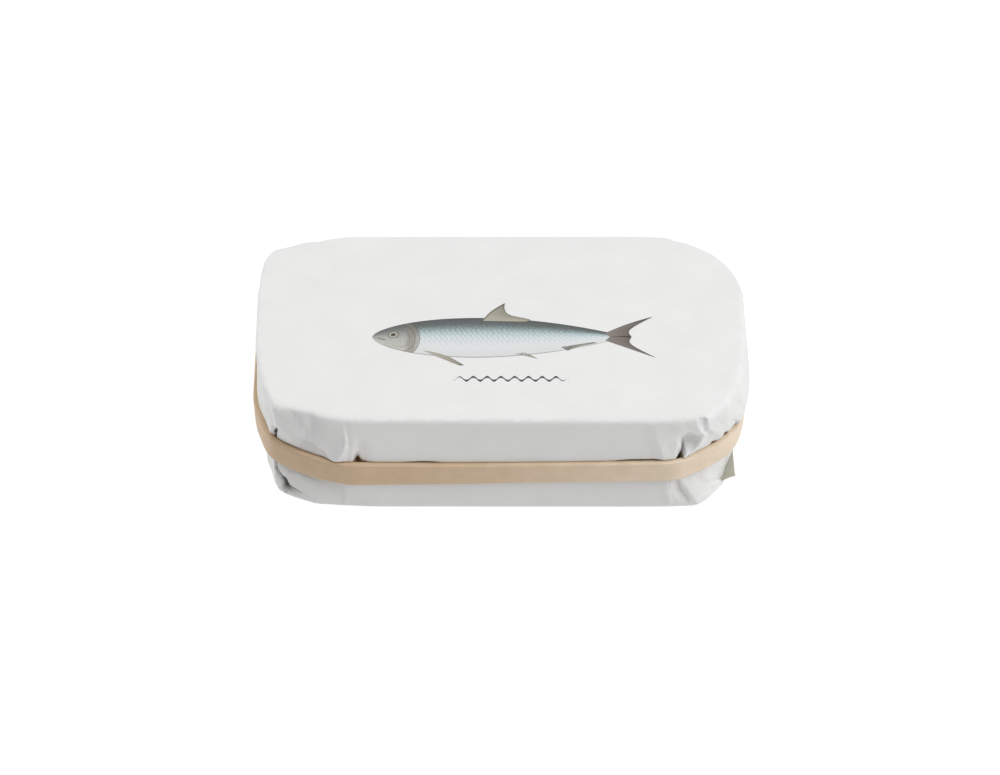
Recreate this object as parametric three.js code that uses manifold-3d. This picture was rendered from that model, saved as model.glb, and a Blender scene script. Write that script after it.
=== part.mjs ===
// A sardine tin wrapped in one sheet of white paper, held shut by a flat rubber band.
//
// The origin is on the floor under the middle of the pack. X runs along the long side, Y from the
// front to the back and Z upwards, all in millimetres. A place on the side walls is a station, the
// distance along the walls from the middle of the front, positive to the right, and a height.
// An offset is how far the paper stands out from the plain rounded box there.
import * as THREE from 'three';
import { mergeVertices } from 'three/addons/utils/BufferGeometryUtils.js';
import Module from 'manifold-3d';

// The wrapped pack
const PACK_LENGTH = 107.8;
const PACK_WIDTH = 62;
const PACK_HEIGHT = 24.8;
const CORNER_RADIUS = 19.5;
const TOP_ROUND = 1.1;
const FOOT_ROUND = 0.9;
const TOP_CROWN = 0.15;
const EDGE_SOFTNESS = 0.3; // where the middle of a rounded edge lies, as a share of its round

// The rubber band
const BAND_THICKNESS = 1;
const BAND_MIDDLE = 10.6;
const BAND_RISE = 0.012; // height gained for each millimetre to the right
const BAND_WIDTH_LEFT = 6.2;
const BAND_WIDTH_RIGHT = 5.1;
const BAND_CHAMFER = 0.2;
const BAND_GAP = 0.3;
const BAND_STEP = 3.2;

// Heights between which the wall runs straight from one outline to the next, and what lies between
const FOOT_LINE = 1.8;
const GROOVE_BOTTOM = 6.4;
const GROOVE_TOP = 14.6;
const TOP_LINE = 23;
const WALL_ROWS = [1.9, 2.9, 4, 5.2, 6.4, 6.5, 14.5, 14.6, 15.6, 16.7, 17.8, 18.9, 20, 21.1, 22.3];

// Steps along the walls
const STRAIGHT_STEP = 4;
const PLAIN_CORNER_STEP = 2;
const CREASED_STEP = 1;
const CREASED_FROM = 27;
const CREASED_TO = 60;

// The paper corner that sticks out at the lower right
const EAR_REACH = 2;
const EAR_THICKNESS = 0.6;
const EAR_ROOT = 1.2; // how deep it starts inside the wall

const HALF_LENGTH = PACK_LENGTH / 2;
const HALF_WIDTH = PACK_WIDTH / 2;
const FRONT_RUN = HALF_LENGTH - CORNER_RADIUS;
const SIDE_RUN = HALF_WIDTH - CORNER_RADIUS;
const CORNER_RUN = (CORNER_RADIUS * Math.PI) / 2;
const HALF_ROUND = 2 * FRONT_RUN + 2 * SIDE_RUN + 2 * CORNER_RUN;

const FRONT_RIGHT = { station: (run) => FRONT_RUN + run };
const FRONT_LEFT = { station: (run) => -FRONT_RUN - run };
const BACK_RIGHT = { station: (run) => HALF_ROUND - FRONT_RUN - run };
const BACK_LEFT = { station: (run) => FRONT_RUN + run - HALF_ROUND };

/** Knots of an outline round one corner: each is an angle from the front or back, and an offset. */
function cornerFolds(corner, folds) {
  return folds.map(([degrees, offset]) => [
    corner.station(CORNER_RADIUS * THREE.MathUtils.degToRad(degrees)),
    offset,
  ]);
}

/** A closed outline round the walls, as knots in order of their stations. */
function outlineOf(...corners) {
  const knots = corners.flat().sort((a, b) => a[0] - b[0]);
  const [first, last] = [knots[0], knots.at(-1)];
  const turn = 2 * HALF_ROUND;
  return [[last[0] - turn, last[1]], ...knots, [first[0] + turn, first[1]]];
}

// The paper where it folds over the top edge: nearly the tin's own round corners
const TOP_OUTLINE = outlineOf(
  cornerFolds(FRONT_LEFT, [[0, -0.4], [22, -0.8], [36, -0.8], [56, -1.2], [75, -2], [90, -1.7]]),
  cornerFolds(FRONT_RIGHT, [[0, -0.1], [10, -0.2], [25, 0.4], [46, 0.5], [68, 0.4], [90, 0]]),
  cornerFolds(BACK_RIGHT, [[0, 0.6], [12, 0.5], [30, 0.1], [50, 0], [70, -0.2], [90, -0.1]]),
  cornerFolds(BACK_LEFT, [[0, 0.5], [25, 0.5], [38, 1.3], [49, 2.5], [56, 2.3], [68, 0.5], [90, -0.9]]),
);

// The paper under the band: straight runs from fold to fold, as the band pulls it
const BAND_OUTLINE = outlineOf(
  cornerFolds(FRONT_LEFT, [[-9, -0.3], [10, -2], [26, -2.6], [48, -2.2], [62, -2.5], [76, -2.8]]),
  cornerFolds(FRONT_LEFT, [[90, -2.4]]),
  cornerFolds(FRONT_RIGHT, [[0, -0.6], [10, -0.6], [28, -1.7], [46, -1.6], [60, -1.1], [75, -1.4]]),
  cornerFolds(FRONT_RIGHT, [[90, -1.5]]),
  cornerFolds(BACK_RIGHT, [[0, -0.3], [30, -0.9], [60, -1.4], [90, -1.5]]),
  cornerFolds(BACK_LEFT, [[0, -0.3], [35, -0.9], [65, -1.6], [90, -1.3]]),
);

// The paper at the foot: fuller, where the corner pleats are tucked under
const FOOT_OUTLINE = outlineOf(
  cornerFolds(FRONT_LEFT, [[0, 0.6], [18, 0.8], [34, 0.8], [44, -0.1], [58, -1.7], [74, -2.3], [90, -2.4]]),
  cornerFolds(FRONT_RIGHT, [[0, 0.6], [12, 1.2], [24, 2.2], [36, 1.7], [50, 0.1], [66, -1.2], [90, -1.6]]),
  cornerFolds(BACK_RIGHT, [[0, 0.6], [16, 1.2], [32, 1.3], [50, 0.2], [68, -1], [90, -1.6]]),
  cornerFolds(BACK_LEFT, [[0, 0.6], [20, 1.1], [40, 1.1], [58, 0], [74, -1], [90, -1.6]]),
);

// Folds pressed into the paper: a straight line from one place on the wall to another, how far the
// fold stands out or in along it, and how far to each side it fades away
const FOLDS = [
  // Front left: the pinched edge, the pit beside it, the tucked flap and the slit at the foot
  { from: [-31.8, 24], to: [-31.6, 14.5], depth: 0.7, reach: 1.3 },
  { from: [-29.8, 16], to: [-29.8, 12.5], depth: -0.9, reach: 1.2 },
  { from: [-48.2, 16.5], to: [-40.5, 15.5], depth: 0.9, reach: 2.2 },
  { from: [-49.4, 18.5], to: [-49.2, 14.5], depth: -0.8, reach: 1 },
  { from: [-38, 23], to: [-36, 17], depth: -0.6, reach: 2.4 },
  { from: [-43.1, 23.5], to: [-45.2, 19.5], depth: 0.4, reach: 2.4 },
  { from: [-49.6, 6], to: [-48.4, 1], depth: 0.6, reach: 1.2 },
  { from: [-48, 5], to: [-46.2, 1], depth: -0.9, reach: 1.4 },
  // Front right: the dent beside its bright edge, the crumpled top and the slanting foot crease
  { from: [33.8, 22.5], to: [36.2, 16], depth: 0.35, reach: 2 },
  { from: [37.4, 17.5], to: [37.4, 13.5], depth: -0.9, reach: 1.3 },
  { from: [38.8, 18.4], to: [42.6, 19.6], depth: -1.1, reach: 2 },
  { from: [39.2, 16.8], to: [44.6, 16.4], depth: 0.5, reach: 1.4 },
  { from: [42.2, 24], to: [44.2, 19], depth: 0.8, reach: 1.4 },
  { from: [46.2, 17.4], to: [46.2, 15], depth: -0.6, reach: 1 },
  { from: [50.6, 17.6], to: [51, 15], depth: -0.6, reach: 1 },
  { from: [38.2, 6], to: [41.6, 1.5], depth: -0.9, reach: 1.3 },
  { from: [40.6, 6], to: [44.6, 1.5], depth: 0.6, reach: 1.5 },
  // Back right and back left: softer pleats of the same make
  { from: [112, 23.5], to: [110.5, 15], depth: -0.5, reach: 2.6 },
  { from: [104, 22.5], to: [106, 15.5], depth: 0.6, reach: 2.6 },
  { from: [107, 6], to: [104, 1.5], depth: -0.7, reach: 2.4 },
  { from: [-112, 23.5], to: [-109, 15.5], depth: -0.8, reach: 2.6 },
  { from: [-103, 23.5], to: [-104, 15.5], depth: 0.7, reach: 2.6 },
  { from: [-98, 22], to: [-97, 15.5], depth: -0.6, reach: 2.4 },
  { from: [-105, 6], to: [-102, 1.5], depth: -0.8, reach: 2.4 },
];

/** The point and outward direction of the plain rounded box at a station. */
function wallAt(station) {
  const turns = Math.round(station / (2 * HALF_ROUND));
  const place = station - turns * 2 * HALF_ROUND;
  const side = Math.sign(place) || 1;
  let run = Math.abs(place);
  if (run <= FRONT_RUN) return { x: side * run, y: -HALF_WIDTH, nx: 0, ny: -1 };
  run -= FRONT_RUN;
  if (run <= CORNER_RUN) {
    const turn = run / CORNER_RADIUS;
    return roundedPoint(side, -SIDE_RUN, side * Math.sin(turn), -Math.cos(turn));
  }
  run -= CORNER_RUN;
  if (run <= 2 * SIDE_RUN) {
    return { x: side * HALF_LENGTH, y: run - SIDE_RUN, nx: side, ny: 0 };
  }
  run -= 2 * SIDE_RUN;
  if (run <= CORNER_RUN) {
    const turn = run / CORNER_RADIUS;
    return roundedPoint(side, SIDE_RUN, side * Math.cos(turn), Math.sin(turn));
  }
  run -= CORNER_RUN;
  return { x: side * (FRONT_RUN - run), y: HALF_WIDTH, nx: 0, ny: 1 };
}

/** A point on a corner arc, in the direction nx, ny from the corner's centre. */
function roundedPoint(side, centreY, nx, ny) {
  return {
    x: side * FRONT_RUN + CORNER_RADIUS * nx,
    y: centreY + CORNER_RADIUS * ny,
    nx,
    ny,
  };
}

/** The point of the wall at a station, moved out by an offset. */
function wallOut(station, offset) {
  const { x, y, nx, ny } = wallAt(station);
  return { x: x + offset * nx, y: y + offset * ny };
}

/** How far an outline stands out at a station, as it runs straight from knot to knot in plan. */
function outlineOffset(outline, station) {
  const next = outline.findIndex(([knot]) => knot > station);
  const start = wallOut(...outline[next - 1]);
  const end = wallOut(...outline[next]);
  const { x, y, nx, ny } = wallAt(station);
  const [runX, runY] = [end.x - start.x, end.y - start.y];
  return ((start.x - x) * runY - (start.y - y) * runX) / (nx * runY - ny * runX);
}

/** How far the folds stand out or in at a place on the wall. */
function foldOffset(station, height) {
  let offset = 0;
  for (const { from, to, depth, reach } of FOLDS) {
    const along = [to[0] - from[0], to[1] - from[1]];
    const away = [station - from[0], height - from[1]];
    const length = along[0] ** 2 + along[1] ** 2;
    const share = THREE.MathUtils.clamp((away[0] * along[0] + away[1] * along[1]) / length, 0, 1);
    const distance = Math.hypot(away[0] - share * along[0], away[1] - share * along[1]);
    offset += depth * Math.max(0, 1 - distance / reach);
  }
  return offset;
}

/** How far the paper stands out at a place on the wall. */
function paperOffset(station, height) {
  const band = outlineOffset(BAND_OUTLINE, station);
  if (height > GROOVE_BOTTOM && height < GROOVE_TOP) return band;
  const upper = height >= GROOVE_TOP;
  const outline = outlineOffset(upper ? TOP_OUTLINE : FOOT_OUTLINE, station);
  const [near, far] = upper ? [GROOVE_TOP, TOP_LINE] : [GROOVE_BOTTOM, FOOT_LINE];
  const share = THREE.MathUtils.clamp((height - near) / (far - near), 0, 1);
  return band + share * (outline - band) + foldOffset(station, height);
}

/** The stations of the wrap's mesh, close together where the paper is creased. */
function wrapStations() {
  const stations = [];
  const backCorner = [HALF_ROUND - FRONT_RUN - CORNER_RUN, HALF_ROUND - FRONT_RUN];
  let station = -HALF_ROUND;
  while (station < HALF_ROUND - STRAIGHT_STEP / 2) {
    stations.push(station);
    const run = Math.abs(station);
    if (run > CREASED_FROM && run < CREASED_TO) station += CREASED_STEP;
    else if (run > backCorner[0] && run < backCorner[1]) station += PLAIN_CORNER_STEP;
    else station += STRAIGHT_STEP;
  }
  return stations;
}

/** The rows of the wrap's mesh from the foot to the top: a height, and how far it is drawn in. */
function wrapRows() {
  const foot = [
    [0, FOOT_ROUND],
    [EDGE_SOFTNESS * FOOT_ROUND, EDGE_SOFTNESS * FOOT_ROUND],
    [FOOT_ROUND, 0],
  ];
  const top = [
    [PACK_HEIGHT - TOP_ROUND, 0],
    [PACK_HEIGHT - EDGE_SOFTNESS * TOP_ROUND, EDGE_SOFTNESS * TOP_ROUND],
    [PACK_HEIGHT, TOP_ROUND],
  ];
  return [...foot, ...WALL_ROWS.map((height) => [height, 0]), ...top];
}

/** A mesh from rows of points that close on themselves, with a point at the foot and the top. */
function closedRows(rows, footPoint, topPoint) {
  const count = rows[0].length;
  const points = [...rows.flat(), footPoint, topPoint];
  const faces = [];
  const foot = rows.length * count;
  for (let i = 0; i < count; i += 1) {
    const next = (i + 1) % count;
    faces.push(foot, next, i);
    for (let row = 0; row < rows.length - 1; row += 1) {
      const lower = row * count;
      const upper = lower + count;
      faces.push(lower + i, lower + next, upper + next);
      faces.push(lower + i, upper + next, upper + i);
    }
    const last = (rows.length - 1) * count;
    faces.push(foot + 1, last + i, last + next);
  }
  return geometryOf(points.flat(), faces);
}

/** A geometry from its coordinates and the corners of its faces. */
function geometryOf(coordinates, faces) {
  const geometry = new THREE.BufferGeometry();
  geometry.setAttribute('position', new THREE.Float32BufferAttribute(coordinates, 3));
  geometry.setIndex(faces);
  return geometry;
}

/** The paper wrap without the corner that sticks out. */
function wrapShell() {
  const stations = wrapStations();
  const rows = wrapRows().map(([height, drawnIn]) =>
    stations.map((station) => {
      const { x, y, nx, ny } = wallAt(station);
      const out = paperOffset(station, height) - drawnIn;
      return [x + out * nx, y + out * ny, height];
    }),
  );
  return closedRows(rows, [0, 0, 0], [0, 0, PACK_HEIGHT + TOP_CROWN]);
}

/** The paper corner that sticks out at the lower right, a thin three-sided flap. */
function paperEar() {
  const places = [
    { station: 54.8, height: 6.4, out: -EAR_ROOT - 1 },
    { station: 53.7, height: 6.6, out: -0.3 },
    { station: 51.3, height: 4, out: EAR_REACH },
    { station: 49.1, height: 1.4, out: 0.2 },
    { station: 49.3, height: 1.2, out: -EAR_ROOT },
  ];
  const points = [];
  for (const shift of [-EAR_THICKNESS / 2, EAR_THICKNESS / 2]) {
    for (const { station, height, out } of places) {
      const { x, y, nx, ny } = wallAt(station);
      points.push(x + out * nx - shift * ny, y + out * ny + shift * nx, height);
    }
  }
  const n = places.length;
  const faces = [];
  for (let i = 1; i < n - 1; i += 1) {
    faces.push(0, i + 1, i, n, n + i, n + i + 1);
  }
  for (let i = 0; i < n; i += 1) {
    const next = (i + 1) % n;
    faces.push(i, next, n + next, i, n + next, n + i);
  }
  return geometryOf(points, faces);
}

/** The band's width at a place across the pack: it is stretched narrower to the right. */
function bandWidth(x) {
  const share = THREE.MathUtils.smoothstep(x, -HALF_LENGTH, HALF_LENGTH);
  return THREE.MathUtils.lerp(BAND_WIDTH_LEFT, BAND_WIDTH_RIGHT, share);
}

/** The stations of the band's mesh: evenly round the pack, and at every bend. */
function bandStations() {
  const bends = BAND_OUTLINE.slice(1, -1).map(([station]) => station);
  const count = Math.round((2 * HALF_ROUND) / BAND_STEP);
  const even = Array.from({ length: count }, (_, i) => -HALF_ROUND + (i * 2 * HALF_ROUND) / count);
  const clear = even.filter((station) =>
    bends.every((bend) => Math.abs(bend - station) > BAND_STEP / 3),
  );
  return [...clear, ...bends].sort((a, b) => a - b);
}

/** The flat rubber band, pulled straight from bend to bend round the corners. */
function rubberBand() {
  const sections = bandStations().map((station) => {
    const { x, y, nx, ny } = wallAt(station);
    const inner = outlineOffset(BAND_OUTLINE, station) + BAND_GAP;
    const outer = inner + BAND_THICKNESS;
    const middle = BAND_MIDDLE + BAND_RISE * x;
    const half = bandWidth(x) / 2;
    const section = [
      [inner, -half],
      [outer - BAND_CHAMFER, -half],
      [outer, -half + BAND_CHAMFER],
      [outer, half - BAND_CHAMFER],
      [outer - BAND_CHAMFER, half],
      [inner, half],
    ];
    return section.map(([out, up]) => [x + out * nx, y + out * ny, middle + up]);
  });
  return closedLoop(sections);
}

/** A closed ring from equal sections that follow one another and meet the first again. */
function closedLoop(sections) {
  const n = sections[0].length;
  const faces = [];
  for (let i = 0; i < sections.length; i += 1) {
    const here = i * n;
    const next = ((i + 1) % sections.length) * n;
    for (let j = 0; j < n; j += 1) {
      const up = (j + 1) % n;
      faces.push(here + j, next + j, next + up, here + j, next + up, here + up);
    }
  }
  return geometryOf(sections.flat(2), faces);
}

const wasm = await Module();
wasm.setup();

/** A solid from a closed geometry. */
function solidOf(geometry) {
  const merged = mergeVertices(geometry);
  return new wasm.Manifold(
    new wasm.Mesh({
      numProp: 3,
      vertProperties: new Float32Array(merged.attributes.position.array),
      triVerts: new Uint32Array(merged.index.array),
    }),
  );
}

/** A named piece from a solid. */
function piece(name, solid, material) {
  const { vertProperties, triVerts } = solid.getMesh();
  const mesh = new THREE.Mesh(geometryOf(vertProperties, [...triVerts]), material);
  mesh.geometry.computeVertexNormals();
  mesh.name = name;
  return mesh;
}

const paper = new THREE.MeshStandardMaterial({ color: 0xe9e9e8, roughness: 0.75, metalness: 0 });
const rubber = new THREE.MeshStandardMaterial({ color: 0xc9ad8c, roughness: 0.6, metalness: 0 });

const wrap = solidOf(wrapShell()).add(solidOf(paperEar()));
const wrappedTin = new THREE.Group();
wrappedTin.add(piece('paper_wrap', wrap, paper));
wrappedTin.add(piece('rubber_band', solidOf(rubberBand()), rubber));

export default wrappedTin;
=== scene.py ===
"""A sardine tin wrapped in white paper and held by a flat rubber band, dressed for the camera.

All sizes are in millimetres, and become metres where a mesh is placed. X runs to the right, Y to the
back and Z up, from the floor under the middle of the pack. A place on the side walls is a station,
the distance along the walls from the middle of the front, positive to the right, and a height. An
offset is how far the paper stands out there from a plain rounded box.
"""

import logging
import math
from dataclasses import dataclass
from enum import Enum
from typing import Any, Iterable

import bpy
import numpy as np
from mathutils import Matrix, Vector


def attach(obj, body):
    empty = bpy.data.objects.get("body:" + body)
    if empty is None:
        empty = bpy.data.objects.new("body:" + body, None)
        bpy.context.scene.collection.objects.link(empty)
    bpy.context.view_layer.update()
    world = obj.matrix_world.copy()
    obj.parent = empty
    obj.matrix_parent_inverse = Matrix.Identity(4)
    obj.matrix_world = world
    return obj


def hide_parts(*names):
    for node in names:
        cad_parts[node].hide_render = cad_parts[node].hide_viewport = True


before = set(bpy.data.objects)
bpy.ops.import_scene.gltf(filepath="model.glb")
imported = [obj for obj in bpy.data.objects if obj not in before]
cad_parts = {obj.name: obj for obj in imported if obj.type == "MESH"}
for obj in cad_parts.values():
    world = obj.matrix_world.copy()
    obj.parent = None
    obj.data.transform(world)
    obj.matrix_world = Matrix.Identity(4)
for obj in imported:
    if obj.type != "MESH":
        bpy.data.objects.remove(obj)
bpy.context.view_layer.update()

log = logging.getLogger("sardine_tin")

MM = 0.001
BODY = "root"
SCREEN_WHITE = 255.0
SCREEN_GAMMA = 2.2

# A raised tube's radius before it is pressed into shape, and the fine step of a softened outline
TUBE_RADIUS = 60.0
FINE_STEP = 0.1

# The angles in degrees past which an edge stays sharp
SHARP_PAPER = 40.0
SHARP_RUBBER = 50.0
SHARP_INK = 60.0

# The paper's fibres, which show through the print as well
FIBRE_SCALE = 3.0
FIBRE_DEPTH = 0.006
FIBRE_STRENGTH = 0.8
PAPER_SHEEN = 0.3
INK_ROUGHNESS = 0.75

Colour = tuple[float, float, float]
Stops = tuple[tuple[float, Colour], ...]
Field = np.ndarray
Place = tuple[float, float, float]
Point = tuple[float, float]


def smooth(share: Field) -> Field:
    """Ease a share from 0 to 1, clamped at both ends."""
    held = np.clip(share, 0.0, 1.0)
    return held * held * (3.0 - 2.0 * held)


def linear(red: int, green: int, blue: int) -> Colour:
    """Turn a colour as seen on a screen, 0 to 255, into the renderer's linear values."""
    return tuple((value / SCREEN_WHITE) ** SCREEN_GAMMA for value in (red, green, blue))


# Modelling by hand


def nothing_selected() -> None:
    """Leave edit mode and deselect every object."""
    if bpy.context.object is not None and bpy.context.object.mode != "OBJECT":
        bpy.ops.object.mode_set(mode="OBJECT")
    bpy.ops.object.select_all(action="DESELECT")


def named(name: str) -> bpy.types.Object:
    """Name the object just added, and its mesh.

    Args:
        name: the name for both.

    Returns:
        The object.
    """
    piece = bpy.context.object
    piece.name = piece.data.name = name
    return piece


def places_of(piece: bpy.types.Object) -> Field:
    """Read where a piece's vertices are.

    Args:
        piece: the object being modelled, in object mode.

    Returns:
        Rows of X, Y and Z, in millimetres.
    """
    flat = np.empty(len(piece.data.vertices) * 3)
    piece.data.vertices.foreach_get("co", flat)
    return flat.reshape(-1, 3) / MM


def place_vertices(piece: bpy.types.Object, places: Field) -> None:
    """Move the piece's vertices to new places, given in millimetres."""
    piece.data.vertices.foreach_set("co", (places * MM).ravel())
    piece.data.update()


def select_vertices(piece: bpy.types.Object, chosen: Field) -> None:
    """Select only the chosen vertices of a piece, and go into edit mode on them.

    Args:
        piece: the object being modelled, in object mode.
        chosen: one truth value for each vertex.
    """
    bpy.ops.object.mode_set(mode="EDIT")
    bpy.ops.mesh.select_mode(type="VERT")
    bpy.ops.mesh.select_all(action="DESELECT")
    bpy.ops.object.mode_set(mode="OBJECT")
    piece.data.vertices.foreach_set("select", chosen.astype(bool))
    bpy.ops.object.mode_set(mode="EDIT")


def apply_modifier(piece: bpy.types.Object, kind: str, **settings: Any) -> None:
    """Add one modifier to the active piece, set it and apply it.

    Args:
        piece: the object to finish.
        kind: the modifier's type, such as SOLIDIFY.
        settings: its settings by name.
    """
    modifier = piece.modifiers.new(kind.title(), kind)
    for name, value in settings.items():
        setattr(modifier, name, value)
    bpy.context.view_layer.objects.active = piece
    bpy.ops.object.modifier_apply(modifier=modifier.name)


def merge_vertices(within: float) -> None:
    """Merge the vertices of the active piece that lie on each other.

    Args:
        within: how near counts as the same place, in millimetres.
    """
    bpy.ops.object.mode_set(mode="EDIT")
    bpy.ops.mesh.select_all(action="SELECT")
    bpy.ops.mesh.remove_doubles(threshold=within * MM)
    bpy.ops.object.mode_set(mode="OBJECT")


def finish_piece(piece: bpy.types.Object, sharp_degrees: float) -> None:
    """Point the faces outwards and shade them smooth up to an angle.

    Args:
        piece: the object to finish, in either mode.
        sharp_degrees: the angle past which an edge stays sharp.
    """
    nothing_selected()
    piece.select_set(True)
    bpy.context.view_layer.objects.active = piece
    bpy.ops.object.mode_set(mode="EDIT")
    bpy.ops.mesh.select_all(action="SELECT")
    bpy.ops.mesh.normals_make_consistent(inside=False)
    bpy.ops.object.mode_set(mode="OBJECT")
    bpy.ops.object.shade_smooth_by_angle(angle=math.radians(sharp_degrees))
    piece.select_set(False)


def raised_tube(name: str, columns: int, rows: int) -> bpy.types.Object:
    """Model an upright open tube: a circle, extruded upwards row by row.

    Args:
        name: the piece's name.
        columns: how many vertices go round.
        rows: how many rows of vertices it has, a millimetre apart.

    Returns:
        The tube, whose vertices are then placed by column and row.
    """
    nothing_selected()
    bpy.ops.mesh.primitive_circle_add(vertices=columns, radius=TUBE_RADIUS * MM, fill_type="NOTHING")
    tube = named(name)
    bpy.ops.object.mode_set(mode="EDIT")
    bpy.ops.mesh.select_all(action="SELECT")
    for _ in range(rows - 1):
        bpy.ops.mesh.extrude_edges_move(TRANSFORM_OT_translate={"value": (0.0, 0.0, MM)})
    bpy.ops.object.mode_set(mode="OBJECT")
    return tube


def tube_columns(piece: bpy.types.Object, columns: int) -> tuple[Field, Field]:
    """Find each vertex of a raised tube by its column round it and its row up it.

    Args:
        piece: the tube, before its vertices are placed.
        columns: how many vertices go round.

    Returns:
        The column and the row of each vertex.
    """
    places = places_of(piece)
    turn = np.arctan2(places[:, 1], places[:, 0]) / (2.0 * math.pi)
    column = np.round(turn * columns).astype(int) % columns
    return column, np.round(places[:, 2]).astype(int)


def flat_grid(name: str, columns: int, rows: int) -> tuple[bpy.types.Object, Field, Field]:
    """Add a flat grid, to be pressed into shape.

    Args:
        name: the piece's name.
        columns: faces along it.
        rows: faces across it.

    Returns:
        The grid, and each vertex's share along it and across it, from 0 to 1.
    """
    nothing_selected()
    bpy.ops.mesh.primitive_grid_add(x_subdivisions=columns, y_subdivisions=rows, size=2.0 * MM)
    grid = named(name)
    shares = np.clip((places_of(grid) + 1.0) / 2.0, 0.0, 1.0)
    return grid, shares[:, 0], shares[:, 1]


# Shader recipes


class Wire:
    """One output of a node, on which plain arithmetic adds Math nodes."""

    def __init__(self, recipe: "Recipe", socket: bpy.types.NodeSocket) -> None:
        """Keep the recipe and the socket."""
        self.recipe = recipe
        self.socket = socket

    def maths(self, operation: str, first: Any, second: Any) -> "Wire":
        """Add one Math node for two values."""
        return self.recipe.node("ShaderNodeMath", {"operation": operation}, {0: first, 1: second})

    def __add__(self, other: Any) -> "Wire":
        """Add."""
        return self.maths("ADD", self, other)

    __radd__ = __add__

    def __sub__(self, other: Any) -> "Wire":
        """Subtract."""
        return self.maths("SUBTRACT", self, other)

    def __rsub__(self, other: Any) -> "Wire":
        """Subtract from a number."""
        return self.maths("SUBTRACT", other, self)

    def __mul__(self, other: Any) -> "Wire":
        """Multiply."""
        return self.maths("MULTIPLY", self, other)

    __rmul__ = __mul__

    def __pow__(self, other: Any) -> "Wire":
        """Raise to a power."""
        return self.maths("POWER", self, other)


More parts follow.
